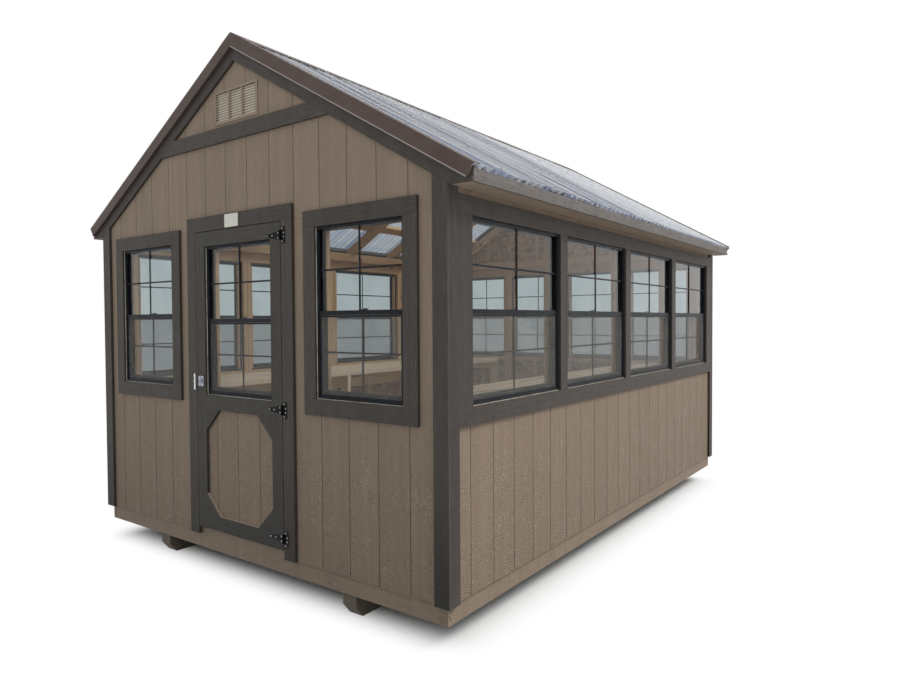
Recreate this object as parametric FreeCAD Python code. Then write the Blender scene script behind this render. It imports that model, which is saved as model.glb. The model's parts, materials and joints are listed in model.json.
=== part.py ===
import FreeCAD, Part
import math
import os

# A timber greenhouse on skids. X runs across the gable, Y from the front wall to the back wall, Z up.
# The origin is on the ground under the middle of the floor. All sizes are in millimetres.

# Floor
FLOOR_WIDTH = 3048.0
FLOOR_LENGTH = 4267.2
SKID_WIDTH = 100.0
SKID_HEIGHT = 127.0
SKID_CENTRE = 868.0
SKID_INSET = 15.0
SKID_BEVEL_LENGTH = 50.0
SKID_BEVEL_HEIGHT = 60.0
RIM_HEIGHT = 140.0
DECK_THICK = 18.0
DECK_SHEET = 1219.2
JOIST_SPACING = 406.4

# Framing lumber
LUMBER = 38.0
STUD_DEPTH = 89.0

# Cladding and trim
SIDING_THICK = 11.0
SIDING_LAP = 45.0
GROOVE_PITCH = 203.2
GROOVE_WIDTH = 4.5
GROOVE_DEPTH = 1.5
END_GROOVE_START = -113.0
SIDE_GROOVE_START = 174.0
DOOR_GROOVE_START = -22.8
TRIM_THICK = 19.0
TRIM_WIDTH = 89.0
RAKE_BOARD = 76.0

# Windows
WINDOW_HEIGHT = 914.0
END_WINDOW_WIDTH = 610.0
SIDE_WINDOW_WIDTH = 914.0
WINDOWS_PER_WALL = 4
SILL_ABOVE_DECK = 855.0
POST_GAP = 5.0
POST_SPACE = 3.0
SILL_GAP = 3.0
HEADER_GAP = 12.0
FIT_GAP = 0.5
FRAME_FACE = 16.0
FRAME_PROUD = 3.0
FRAME_DEPTH = 74.0
PANE_THICK = 3.0
BAR_WIDTH = 10.0
BAR_THICK = 6.0
MEETING_RAIL = 24.0
RAIL_FRONT = 10.0
GLASS_PLANE = -4.0
BEAD_WIDTH = 10.0
BEAD_THICK = 8.0
STOP_WIDTH = 12.0
SASH_THICK = 20.0
SASH_STILE = 18.0
SASH_BOTTOM_RAIL = 30.0
SASH_LAP = 12.0
SASH_CLEARANCE = 1.0
SASH_SEAT = 0.3
LIFT_WIDTH = 120.0
LIFT_HEIGHT = 12.0
LIFT_DEPTH = 8.0
SCREEN_BAR = 10.0
SCREEN_THICK = 8.0
MESH_THICK = 1.0

# Door
DOOR_WIDTH = 806.0
DOOR_GAP = 4.0
DOOR_LIFT = 5.0
DOOR_HEAD_GAP = 10.0
DOOR_BACK_GAP = 1.0
DOOR_FRAME_SETBACK = 4.0
DOOR_FRAME_LIFT = 9.0
CORNER_BLOCK = 130.0
STOP_LAP = 27.0
STOP_THICK = 12.0
STOP_CLEARANCE = 3.0
NAME_PLATE_WIDTH = 130.0
NAME_PLATE_HEIGHT = 78.0
NAME_PLATE_THICK = 2.0
NAME_PLATE_CENTRE = -35.0

# Hinges
HINGE_LEAF = 2.5
BARREL_RADIUS = 6.0
BARREL_OFFSET = 7.0
BARREL_LENGTH = 50.0
PIN_RADIUS = 3.0
PIN_CLEARANCE = 0.05
PIN_OVERHANG = 2.0
KNUCKLE_GAP = 0.3
MIDDLE_KNUCKLE = 17.4
BARREL_CLEARANCE = 0.5
STRAP_LENGTH = 114.0
STRAP_ROOT = 50.0
STRAP_TIP = 14.0
PLATE_WIDTH = 36.0
PLATE_HEIGHT = 94.0
TOP_HINGE_DROP = 75.0
BOTTOM_HINGE_RISE = 65.0

# Handle
HANDLE_RISE = 915.0
GRIP_LENGTH = 100.0
GRIP_RADIUS = 7.0
GRIP_ROUND = 3.0
GRIP_STANDOFF = 45.0
STEM_RADIUS = 6.0
STEM_CLEARANCE = 0.4
BASE_WIDTH = 52.0
BASE_HEIGHT = 64.0
BASE_THICK = 5.0
COLLAR_RADIUS = 14.0
COLLAR_LENGTH = 8.0
CAM_LENGTH = 45.0
CAM_TAIL = 10.0
CAM_WIDTH = 20.0
CAM_THICK = 4.0
CAM_CLEARANCE = 2.0

# Roof
ROOF_RISE = 7.0
ROOF_RUN = 12.0
EAVE_OVERHANG = 166.0
SHEET_OVERHANG = 15.0
GABLE_OVERHANG = 43.0
TAIL_HEIGHT = 13.0
FASCIA_DROP = 4.0
TRUSS_COUNT = 8
TIE_ABOVE_PLATE = 396.0
GUSSET_THICK = 12.0
GUSSET_HALF_WIDTH = 250.0
GUSSET_INSET = 8.0
PURLINS_PER_SLOPE = 5
RIDGE_PURLIN_START = 30.0
EAVE_PURLIN_SETBACK = 21.0
SHEETS_PER_SLOPE = 7
WAVES_PER_SHEET = 9
WAVE_DEPTH = 18.0
SHEET_THICK = 1.2
LAP_RISE = 2.2
SHEET_SEAT = 0.2
SHEET_RIDGE_GAP = 10.0
FLASHING_THICK = 1.0
FLASHING_GAP = 0.8
FLASHING_LEG = 73.0
FLASHING_FLANGE = 60.0
RIDGE_FLANGE = 130.0

# Gable vents
VENT_WIDTH = 406.0
VENT_HEIGHT = 203.0
VENT_ABOVE_TIE = 22.0
VENT_BORDER = 18.0
VENT_FRAME_THICK = 5.0
VENT_MULLION = 14.0
LOUVER_COUNT = 11
LOUVER_CHORD = 13.0
LOUVER_THICK = 1.5
LOUVER_TILT = 40.0
LOUVER_CLEARANCE = 0.3
GABLE_STUDS = (350.0, 1000.0)

# Benches
BENCH_HEIGHT = 833.0
BENCH_DEPTH = 610.0
BENCH_SLATS = 5
BENCH_END_GAP = 5.0
BENCH_BEARERS = 6

# Levels and planes worked out from the sizes above
HALF_WIDTH = FLOOR_WIDTH / 2
HALF_LENGTH = FLOOR_LENGTH / 2
RIM_TOP = SKID_HEIGHT + RIM_HEIGHT
DECK_TOP = RIM_TOP + DECK_THICK
SIDING_BOTTOM = RIM_TOP - SIDING_LAP
WINDOW_BOTTOM = DECK_TOP + SILL_ABOVE_DECK
WINDOW_TOP = WINDOW_BOTTOM + WINDOW_HEIGHT
HEADER_BOTTOM = WINDOW_TOP + HEADER_GAP
HEADER_TOP = HEADER_BOTTOM + STUD_DEPTH
PLATE_TOP = HEADER_TOP + 2 * LUMBER
SILL_TOP = WINDOW_BOTTOM - SILL_GAP
STUD_BOTTOM = DECK_TOP + LUMBER
TRIM_FACE = SIDING_THICK + TRIM_THICK
INNER_WIDTH = HALF_WIDTH - STUD_DEPTH
INNER_LENGTH = HALF_LENGTH - STUD_DEPTH
WINDOW_SPACING = 2 * (POST_GAP + LUMBER) + POST_SPACE
CORNER_OUTER = HALF_WIDTH + TRIM_FACE
CORNER_INNER = CORNER_OUTER - TRIM_WIDTH
CORNER_SIDE = HALF_LENGTH + TRIM_FACE - TRIM_WIDTH

HALF_DOOR = DOOR_WIDTH / 2
DOORWAY = HALF_DOOR + DOOR_GAP
DOOR_HEADER = HEADER_TOP - LUMBER
DOOR_BOTTOM = RIM_TOP + DOOR_LIFT
DOOR_TOP = DOOR_HEADER - DOOR_HEAD_GAP
DOORWAY_TOP = DOOR_TOP + DOOR_GAP
DOOR_LITE = HALF_DOOR - TRIM_WIDTH
LITE_TOP = DOOR_TOP - TRIM_WIDTH
LITE_BOTTOM = LITE_TOP - WINDOW_HEIGHT
MID_RAIL_BOTTOM = LITE_BOTTOM - TRIM_WIDTH
BOTTOM_RAIL_TOP = DOOR_BOTTOM + TRIM_WIDTH
CASING_OUTER = DOORWAY + TRIM_WIDTH
HANDLE_X = -(DOOR_LITE + TRIM_WIDTH / 2)
HANDLE_Z = DOOR_BOTTOM + HANDLE_RISE
DOOR_FRAME_BACK = DOOR_BACK_GAP - LUMBER
DOOR_STOP_FRONT = DOOR_FRAME_BACK - STOP_CLEARANCE
DOOR_STOP_BACK = DOOR_STOP_FRONT - STOP_THICK
HINGE_X = HALF_DOOR + DOOR_GAP / 2
HINGE_D = TRIM_FACE + BARREL_OFFSET

SLOPE = math.atan2(ROOF_RISE, ROOF_RUN)
FASCIA_OUTER = HALF_WIDTH + EAVE_OVERHANG
FASCIA_INNER = FASCIA_OUTER - TRIM_THICK
RAFTER_TOP = STUD_DEPTH
PURLIN_TOP = RAFTER_TOP + LUMBER
SHEET_BOTTOM = PURLIN_TOP + SHEET_SEAT
SHEET_TOP = SHEET_BOTTOM + WAVE_DEPTH + LAP_RISE
FLASHING_BOTTOM = SHEET_TOP + FLASHING_GAP
RIDGE_BOTTOM = FLASHING_BOTTOM + FLASHING_THICK + FLASHING_GAP


def vec(x, y, z):
    return FreeCAD.Vector(x, y, z)


def box(x0, x1, y0, y1, z0, z1):
    return Part.makeBox(x1 - x0, y1 - y0, z1 - z0, vec(x0, y0, z0))


def wall_box(wall, u0, u1, d0, d1, z0, z1):
    """A board on a wall: u runs along the wall and d outward from the face of the studs."""
    if wall == "front":
        return box(u0, u1, -HALF_LENGTH - d1, -HALF_LENGTH - d0, z0, z1)
    if wall == "back":
        return box(u0, u1, HALF_LENGTH + d0, HALF_LENGTH + d1, z0, z1)
    if wall == "right":
        return box(HALF_WIDTH + d0, HALF_WIDTH + d1, u0, u1, z0, z1)
    return box(-HALF_WIDTH - d1, -HALF_WIDTH - d0, u0, u1, z0, z1)


def prism(points, along):
    """A straight prism from a closed outline of points, swept along a vector."""
    return Part.Face(Part.makePolygon(points + points[:1])).extrude(along)


def gable_prism(outline, y0, y1):
    """A board cut to an outline of (x, z) points, between two planes of Y."""
    return prism([vec(x, y0, z) for x, z in outline], vec(0, y1 - y0, 0))


def end_prism(wall, outline, d0, d1):
    """A board cut to an outline of (x, z) points, on the front or the back wall."""
    side = -1 if wall == "front" else 1
    return gable_prism(outline, side * (HALF_LENGTH + d0), side * (HALF_LENGTH + d1))


def flip(outline, side):
    """The outline on the right for side 1, or mirrored to the left for side -1."""
    return [(side * x, z) for x, z in outline]


def rod(radius, start, along):
    """A round bar from a start point along a vector."""
    return Part.makeCylinder(radius, along.Length, start, along)


def save(node, solids):
    """Write the pieces of one node as a group of separate solids."""
    Part.makeCompound(solids).exportStep(f"parts/{node}.step")


def roof_line(x, above):
    """Height of the plane that lies a square distance above the underside of the rafters."""
    return PLATE_TOP + (INNER_WIDTH - abs(x)) * ROOF_RISE / ROOF_RUN + above / math.cos(SLOPE)


def roof_reach(z, above):
    """Half the width of that plane's gable at a height."""
    return INNER_WIDTH - (z - above / math.cos(SLOPE) - PLATE_TOP) * ROOF_RUN / ROOF_RISE


def roof_point(side, down, y, above):
    """A point a distance down the slope from the ridge and a square distance above the rafters."""
    x = down * math.cos(SLOPE) + (above - PURLIN_TOP) * math.sin(SLOPE)
    z = roof_line(0, PURLIN_TOP) - down * math.sin(SLOPE) + (above - PURLIN_TOP) * math.cos(SLOPE)
    return vec(side * x, y, z)


def spread(start, end, count):
    """Evenly spaced places from start to end."""
    return [start + (end - start) * i / (count - 1) for i in range(count)]


def row_of_windows(width):
    """Centres of a band of windows, centred on its wall, with two posts between each pair."""
    step = width + WINDOW_SPACING
    return [(i - (WINDOWS_PER_WALL - 1) / 2) * step for i in range(WINDOWS_PER_WALL)]


TAIL_BOTTOM = roof_line(FASCIA_INNER, RAFTER_TOP) - TAIL_HEIGHT
SOFFIT_BOTTOM = TAIL_BOTTOM - SIDING_THICK
FASCIA_BOTTOM = SOFFIT_BOTTOM - FASCIA_DROP
FASCIA_TOP = roof_line(FASCIA_OUTER, PURLIN_TOP) - SHEET_SEAT
TIE_BOTTOM = PLATE_TOP + TIE_ABOVE_PLATE
TIE_TOP = TIE_BOTTOM + STUD_DEPTH
VENT_BOTTOM = TIE_TOP + VENT_ABOVE_TIE
VENT_TOP = VENT_BOTTOM + VENT_HEIGHT
VENT_HOLE_HALF = VENT_WIDTH / 2 - VENT_BORDER
VENT_HOLE_BOTTOM = VENT_BOTTOM + VENT_BORDER
VENT_HOLE_TOP = VENT_TOP - VENT_BORDER

FRONT_WINDOW = (CASING_OUTER + CORNER_INNER) / 2
WINDOWS = {
    "front": (END_WINDOW_WIDTH, [-FRONT_WINDOW, FRONT_WINDOW]),
    "back": (END_WINDOW_WIDTH, row_of_windows(END_WINDOW_WIDTH)),
    "right": (SIDE_WINDOW_WIDTH, row_of_windows(SIDE_WINDOW_WIDTH)),
    "left": (SIDE_WINDOW_WIDTH, row_of_windows(SIDE_WINDOW_WIDTH)),
}
SIDE_WALLS = ("right", "left")
END_WALLS = ("front", "back")


def window_edges(wall):
    """The left and right edge of each window opening along its wall."""
    width, centres = WINDOWS[wall]
    return [(c - width / 2, c + width / 2) for c in centres]


def gaps_between(spans, start, end):
    """The stretches of a wall that its openings leave."""
    edges = [start] + [edge for span in spans for edge in span] + [end]
    return list(zip(edges[0::2], edges[1::2]))


def first_groove(wall):
    """A groove line of a wall's siding."""
    return SIDE_GROOVE_START - HALF_LENGTH if wall in SIDE_WALLS else END_GROOVE_START


def grooves(wall, start, u0, u1, z0, z1):
    """The upright grooves that a siding panel has between two edges, counted from a groove line."""
    face = SIDING_THICK
    first = math.ceil((u0 + GROOVE_WIDTH - start) / GROOVE_PITCH)
    last = math.floor((u1 - GROOVE_WIDTH - start) / GROOVE_PITCH)
    places = [start + GROOVE_PITCH * k for k in range(first, last + 1)]
    half = GROOVE_WIDTH / 2
    return [wall_box(wall, u - half, u + half, face - GROOVE_DEPTH, face + 1, z0 - 1, z1 + 1) for u in places]


def grooved(panel, wall, start, u0, u1, z0, z1):
    cuts = grooves(wall, start, u0, u1, z0, z1)
    return panel.cut(cuts).Solids[0] if cuts else panel


def grooved_board(wall, u0, u1, z0, z1):
    panel = wall_box(wall, u0, u1, 0, SIDING_THICK, z0, z1)
    return grooved(panel, wall, first_groove(wall), u0, u1, z0, z1)


def grooved_gable(wall, outline):
    us = [u for u, z in outline]
    zs = [z for u, z in outline]
    panel = end_prism(wall, outline, 0, SIDING_THICK)
    return grooved(panel, wall, first_groove(wall), min(us), max(us), min(zs), max(zs))


def make_floor():
    inset = HALF_LENGTH - SKID_INSET
    profile = [
        (-inset + SKID_BEVEL_LENGTH, 0),
        (inset - SKID_BEVEL_LENGTH, 0),
        (inset, SKID_BEVEL_HEIGHT),
        (inset, SKID_HEIGHT),
        (-inset, SKID_HEIGHT),
        (-inset, SKID_BEVEL_HEIGHT),
    ]
    skids = []
    for side in (-1, 1):
        edge = side * SKID_CENTRE - SKID_WIDTH / 2
        skids.append(prism([vec(edge, y, z) for y, z in profile], vec(SKID_WIDTH, 0, 0)))
    save("skids", skids)

    within = HALF_WIDTH - LUMBER
    rims = [
        box(within, HALF_WIDTH, -HALF_LENGTH, HALF_LENGTH, SKID_HEIGHT, RIM_TOP),
        box(-HALF_WIDTH, -within, -HALF_LENGTH, HALF_LENGTH, SKID_HEIGHT, RIM_TOP),
        box(-within, within, -HALF_LENGTH, -HALF_LENGTH + LUMBER, SKID_HEIGHT, RIM_TOP),
        box(-within, within, HALF_LENGTH - LUMBER, HALF_LENGTH, SKID_HEIGHT, RIM_TOP),
    ]
    save("floor_rim", rims)

    bays = math.ceil(FLOOR_LENGTH / JOIST_SPACING)
    places = spread(-HALF_LENGTH, HALF_LENGTH, bays + 1)[1:-1]
    half = LUMBER / 2
    save("floor_joists", [box(-within, within, y - half, y + half, SKID_HEIGHT, RIM_TOP) for y in places])

    sheets = []
    start = -HALF_LENGTH
    while start < HALF_LENGTH:
        end = min(start + DECK_SHEET, HALF_LENGTH)
        sheets.append(box(-HALF_WIDTH, HALF_WIDTH, start, end, RIM_TOP, DECK_TOP))
        start = end
    save("floor_deck", sheets)


def window_framing(wall):
    """Posts, sill and cripple stud round each window of a wall."""
    pieces = []
    for left, right in window_edges(wall):
        inner_left = left - POST_GAP
        inner_right = right + POST_GAP
        middle = (left + right) / 2
        half = LUMBER / 2
        pieces += [
            wall_box(wall, inner_left - LUMBER, inner_left, -STUD_DEPTH, 0, STUD_BOTTOM, HEADER_BOTTOM),
            wall_box(wall, inner_right, inner_right + LUMBER, -STUD_DEPTH, 0, STUD_BOTTOM, HEADER_BOTTOM),
            wall_box(wall, inner_left, inner_right, -STUD_DEPTH, 0, SILL_TOP - LUMBER, SILL_TOP),
            wall_box(wall, middle - half, middle + half, -STUD_DEPTH, 0, STUD_BOTTOM, SILL_TOP - LUMBER),
        ]
    return pieces


def plates_and_studs(wall, reach):
    """Double top plate and end studs of a wall that reaches so far each side of its middle."""
    pieces = [
        wall_box(wall, -reach, reach, -STUD_DEPTH, 0, HEADER_TOP, HEADER_TOP + LUMBER),
        wall_box(wall, -reach, reach, -STUD_DEPTH, 0, HEADER_TOP + LUMBER, PLATE_TOP),
    ]
    for u0, u1 in ((-reach, -reach + LUMBER), (reach - LUMBER, reach)):
        pieces.append(wall_box(wall, u0, u1, -STUD_DEPTH, 0, STUD_BOTTOM, HEADER_BOTTOM))
    return pieces


def make_wall_frames():
    side_frames = []
    for wall in SIDE_WALLS:
        side_frames += plates_and_studs(wall, HALF_LENGTH) + window_framing(wall)
        side_frames += [
            wall_box(wall, -HALF_LENGTH, HALF_LENGTH, -STUD_DEPTH, 0, DECK_TOP, STUD_BOTTOM),
            wall_box(wall, -HALF_LENGTH, HALF_LENGTH, -LUMBER, 0, HEADER_BOTTOM, HEADER_TOP),
        ]
    save("side_wall_frames", side_frames)

    end_frames = []
    for wall in END_WALLS:
        end_frames += plates_and_studs(wall, INNER_WIDTH) + window_framing(wall)
        for place in GABLE_STUDS:
            for side in (-1, 1):
                x0 = place - LUMBER / 2
                x1 = place + LUMBER / 2
                tops = [min(roof_line(x, 0), TIE_BOTTOM) for x in (x1, x0)]
                outline = [(x0, PLATE_TOP), (x1, PLATE_TOP), (x1, tops[0]), (x0, tops[1])]
                end_frames.append(end_prism(wall, flip(outline, side), -LUMBER, 0))
    end_frames += [
        wall_box("back", -INNER_WIDTH, INNER_WIDTH, -STUD_DEPTH, 0, DECK_TOP, STUD_BOTTOM),
        wall_box("back", -INNER_WIDTH, INNER_WIDTH, -LUMBER, 0, HEADER_BOTTOM, HEADER_TOP),
    ]
    king = DOORWAY + LUMBER
    header_end = king + LUMBER
    for side in (-1, 1):
        spans = [
            (DOORWAY, INNER_WIDTH, -STUD_DEPTH, DECK_TOP, STUD_BOTTOM),
            (DOORWAY, king, -STUD_DEPTH, STUD_BOTTOM, DOOR_HEADER),
            (king, header_end, -STUD_DEPTH, STUD_BOTTOM, HEADER_TOP),
            (header_end, INNER_WIDTH, -LUMBER, HEADER_BOTTOM, HEADER_TOP),
        ]
        for near, far, back, z0, z1 in spans:
            u0, u1 = sorted((side * near, side * far))
            end_frames.append(wall_box("front", u0, u1, back, 0, z0, z1))
    end_frames.append(wall_box("front", -king, king, -STUD_DEPTH, 0, DOOR_HEADER, HEADER_TOP))
    save("end_wall_frames", end_frames)


def gable_siding(wall, bottom):
    """The siding above a level: the gable round its vent hole."""
    outer = HALF_WIDTH + SIDING_THICK
    low = roof_reach(VENT_HOLE_BOTTOM, RAFTER_TOP)
    high = roof_reach(VENT_HOLE_TOP, RAFTER_TOP)
    shoulder = roof_line(outer, RAFTER_TOP)
    lower = [(outer, bottom), (outer, shoulder), (low, VENT_HOLE_BOTTOM)]
    lower += [(-x, z) for x, z in reversed(lower)]
    beside = [
        (VENT_HOLE_HALF, VENT_HOLE_BOTTOM),
        (low, VENT_HOLE_BOTTOM),
        (high, VENT_HOLE_TOP),
        (VENT_HOLE_HALF, VENT_HOLE_TOP),
    ]
    peak = [(-high, VENT_HOLE_TOP), (high, VENT_HOLE_TOP), (0, roof_line(0, RAFTER_TOP))]
    outlines = [lower, beside, flip(beside, -1), peak]
    return [grooved_gable(wall, outline) for outline in outlines]


def make_siding():
    side_siding = []
    for wall in SIDE_WALLS:
        side_siding.append(grooved_board(wall, -HALF_LENGTH, HALF_LENGTH, SIDING_BOTTOM, WINDOW_BOTTOM))
        side_siding.append(grooved_board(wall, -HALF_LENGTH, HALF_LENGTH, WINDOW_TOP, SOFFIT_BOTTOM))
        for u0, u1 in gaps_between(window_edges(wall), -HALF_LENGTH, HALF_LENGTH):
            side_siding.append(wall_box(wall, u0, u1, 0, SIDING_THICK, WINDOW_BOTTOM, WINDOW_TOP))
    save("side_siding", side_siding)

    outer = HALF_WIDTH + SIDING_THICK
    back_siding = gable_siding("back", WINDOW_TOP)
    back_siding.append(grooved_board("back", -outer, outer, SIDING_BOTTOM, WINDOW_BOTTOM))
    for u0, u1 in gaps_between(window_edges("back"), -outer, outer):
        back_siding.append(wall_box("back", u0, u1, 0, SIDING_THICK, WINDOW_BOTTOM, WINDOW_TOP))
    save("back_siding", back_siding)

    front_siding = gable_siding("front", DOORWAY_TOP)
    for u0, u1 in ((-outer, -DOORWAY), (DOORWAY, outer)):
        front_siding.append(grooved_board("front", u0, u1, SIDING_BOTTOM, WINDOW_BOTTOM))
        front_siding.append(grooved_board("front", u0, u1, WINDOW_TOP, DOORWAY_TOP))
    left_window, right_window = window_edges("front")
    for u0, u1 in gaps_between([left_window, (-DOORWAY, DOORWAY), right_window], -outer, outer):
        front_siding.append(grooved_board("front", u0, u1, WINDOW_BOTTOM, WINDOW_TOP))
    save("front_siding", front_siding)


def make_trim():
    boards = []
    below_rake = RAFTER_TOP - RAKE_BOARD
    for wall in END_WALLS:
        outline = [
            (CORNER_INNER, SIDING_BOTTOM),
            (CORNER_OUTER, SIDING_BOTTOM),
            (CORNER_OUTER, roof_line(CORNER_OUTER, below_rake)),
            (CORNER_INNER, roof_line(CORNER_INNER, below_rake)),
        ]
        for side in (-1, 1):
            boards.append(end_prism(wall, flip(outline, side), SIDING_THICK, TRIM_FACE))
    for wall in SIDE_WALLS:
        for side in (-1, 1):
            u0, u1 = sorted((side * CORNER_SIDE, side * (HALF_LENGTH + SIDING_THICK)))
            boards.append(wall_box(wall, u0, u1, SIDING_THICK, TRIM_FACE, SIDING_BOTTOM, SOFFIT_BOTTOM))
    save("corner_boards", boards)

    sill_board = WINDOW_BOTTOM - TRIM_WIDTH
    head_board = WINDOW_TOP + TRIM_WIDTH
    window_trim = []
    for wall, reach in (("right", CORNER_SIDE), ("left", CORNER_SIDE), ("back", CORNER_INNER)):
        window_trim += [
            wall_box(wall, -reach, reach, SIDING_THICK, TRIM_FACE, sill_board, WINDOW_BOTTOM),
            wall_box(wall, -reach, reach, SIDING_THICK, TRIM_FACE, WINDOW_TOP, head_board),
        ]
        for u0, u1 in gaps_between(window_edges(wall), -reach, reach):
            window_trim.append(wall_box(wall, u0, u1, SIDING_THICK, TRIM_FACE, WINDOW_BOTTOM, WINDOW_TOP))
    for left, right in window_edges("front"):
        outer_left = left - TRIM_WIDTH
        outer_right = right + TRIM_WIDTH
        window_trim += [
            wall_box("front", outer_left, outer_right, SIDING_THICK, TRIM_FACE, sill_board, WINDOW_BOTTOM),
            wall_box("front", outer_left, outer_right, SIDING_THICK, TRIM_FACE, WINDOW_TOP, head_board),
            wall_box("front", outer_left, left, SIDING_THICK, TRIM_FACE, WINDOW_BOTTOM, WINDOW_TOP),
            wall_box("front", right, outer_right, SIDING_THICK, TRIM_FACE, WINDOW_BOTTOM, WINDOW_TOP),
        ]
    save("window_trim", window_trim)

    head_top = DOORWAY_TOP + TRIM_WIDTH
    casing = [
        wall_box("front", -CASING_OUTER, CASING_OUTER, SIDING_THICK, TRIM_FACE, DOORWAY_TOP, head_top),
        wall_box("front", -CASING_OUTER, -DOORWAY, SIDING_THICK, TRIM_FACE, SIDING_BOTTOM, DOORWAY_TOP),
        wall_box("front", DOORWAY, CASING_OUTER, SIDING_THICK, TRIM_FACE, SIDING_BOTTOM, DOORWAY_TOP),
    ]
    save("door_casing", casing)

    plate_left = NAME_PLATE_CENTRE - NAME_PLATE_WIDTH / 2
    plate_low = DOORWAY_TOP + (TRIM_WIDTH - NAME_PLATE_HEIGHT) / 2
    plate = wall_box(
        "front",
        plate_left,
        plate_left + NAME_PLATE_WIDTH,
        TRIM_FACE,
        TRIM_FACE + NAME_PLATE_THICK,
        plate_low,
        plate_low + NAME_PLATE_HEIGHT,
    )
    save("name_plate", [plate])

    level_cut = roof_reach(FASCIA_BOTTOM, below_rake)
    rake = [
        (0, roof_line(0, RAFTER_TOP)),
        (0, roof_line(0, below_rake)),
        (level_cut, FASCIA_BOTTOM),
        (FASCIA_OUTER, FASCIA_BOTTOM),
        (FASCIA_OUTER, roof_line(FASCIA_OUTER, RAFTER_TOP)),
    ]
    tie_low = roof_reach(TIE_BOTTOM, below_rake)
    tie_high = roof_reach(TIE_TOP, below_rake)
    collar = [(-tie_low, TIE_BOTTOM), (tie_low, TIE_BOTTOM), (tie_high, TIE_TOP), (-tie_high, TIE_TOP)]
    gable_trim = []
    for wall in END_WALLS:
        gable_trim.append(end_prism(wall, collar, SIDING_THICK, TRIM_FACE))
        for side in (-1, 1):
            gable_trim.append(end_prism(wall, flip(rake, side), SIDING_THICK, TRIM_FACE))
    save("gable_trim", gable_trim)


def make_roof_frame():
    rafter = [
        (0, roof_line(0, 0)),
        (INNER_WIDTH, PLATE_TOP),
        (HALF_WIDTH, PLATE_TOP),
        (HALF_WIDTH, TAIL_BOTTOM),
        (FASCIA_INNER, TAIL_BOTTOM),
        (FASCIA_INNER, roof_line(FASCIA_INNER, RAFTER_TOP)),
        (0, roof_line(0, RAFTER_TOP)),
    ]
    tie_low = roof_reach(TIE_BOTTOM, 0)
    tie_high = roof_reach(TIE_TOP, 0)
    tie = [(-tie_low, TIE_BOTTOM), (tie_low, TIE_BOTTOM), (tie_high, TIE_TOP), (-tie_high, TIE_TOP)]
    gusset_top = RAFTER_TOP - GUSSET_INSET
    gusset_bottom = roof_line(GUSSET_HALF_WIDTH, GUSSET_INSET)
    gusset = [
        (-GUSSET_HALF_WIDTH, gusset_bottom),
        (GUSSET_HALF_WIDTH, gusset_bottom),
        (GUSSET_HALF_WIDTH, roof_line(GUSSET_HALF_WIDTH, gusset_top)),
        (0, roof_line(0, gusset_top)),
        (-GUSSET_HALF_WIDTH, roof_line(GUSSET_HALF_WIDTH, gusset_top)),
    ]
    rafters = []
    ties = []
    gussets = []
    for i, y in enumerate(spread(-HALF_LENGTH, HALF_LENGTH - LUMBER, TRUSS_COUNT)):
        rafters += [gable_prism(flip(rafter, side), y, y + LUMBER) for side in (-1, 1)]
        ties.append(gable_prism(tie, y, y + LUMBER))
        if i > 0:
            gussets.append(gable_prism(gusset, y - GUSSET_THICK, y))
        if i < TRUSS_COUNT - 1:
            gussets.append(gable_prism(gusset, y + LUMBER, y + LUMBER + GUSSET_THICK))
    save("rafters", rafters)
    save("collar_ties", ties)
    save("ridge_gussets", gussets)

    roof_end = HALF_LENGTH + GABLE_OVERHANG
    eave_edge = (FASCIA_INNER - EAVE_PURLIN_SETBACK) / math.cos(SLOPE)
    purlins = []
    for down in spread(RIDGE_PURLIN_START, eave_edge - STUD_DEPTH, PURLINS_PER_SLOPE):
        for side in (-1, 1):
            corners = [
                roof_point(side, down, -roof_end, RAFTER_TOP),
                roof_point(side, down + STUD_DEPTH, -roof_end, RAFTER_TOP),
                roof_point(side, down + STUD_DEPTH, -roof_end, PURLIN_TOP),
                roof_point(side, down, -roof_end, PURLIN_TOP),
            ]
            purlins.append(prism(corners, vec(0, 2 * roof_end, 0)))
    save("roof_purlins", purlins)

    fascia = []
    soffits = []
    edge = HALF_LENGTH + SIDING_THICK
    for side in (-1, 1):
        x0, x1 = sorted((side * FASCIA_INNER, side * FASCIA_OUTER))
        fascia.append(box(x0, x1, -edge, edge, FASCIA_BOTTOM, FASCIA_TOP))
        x0, x1 = sorted((side * (HALF_WIDTH + SIDING_THICK), side * FASCIA_INNER))
        soffits.append(box(x0, x1, -edge, edge, SOFFIT_BOTTOM, TAIL_BOTTOM))
    save("eave_fascia", fascia)
    save("eave_soffits", soffits)


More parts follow.
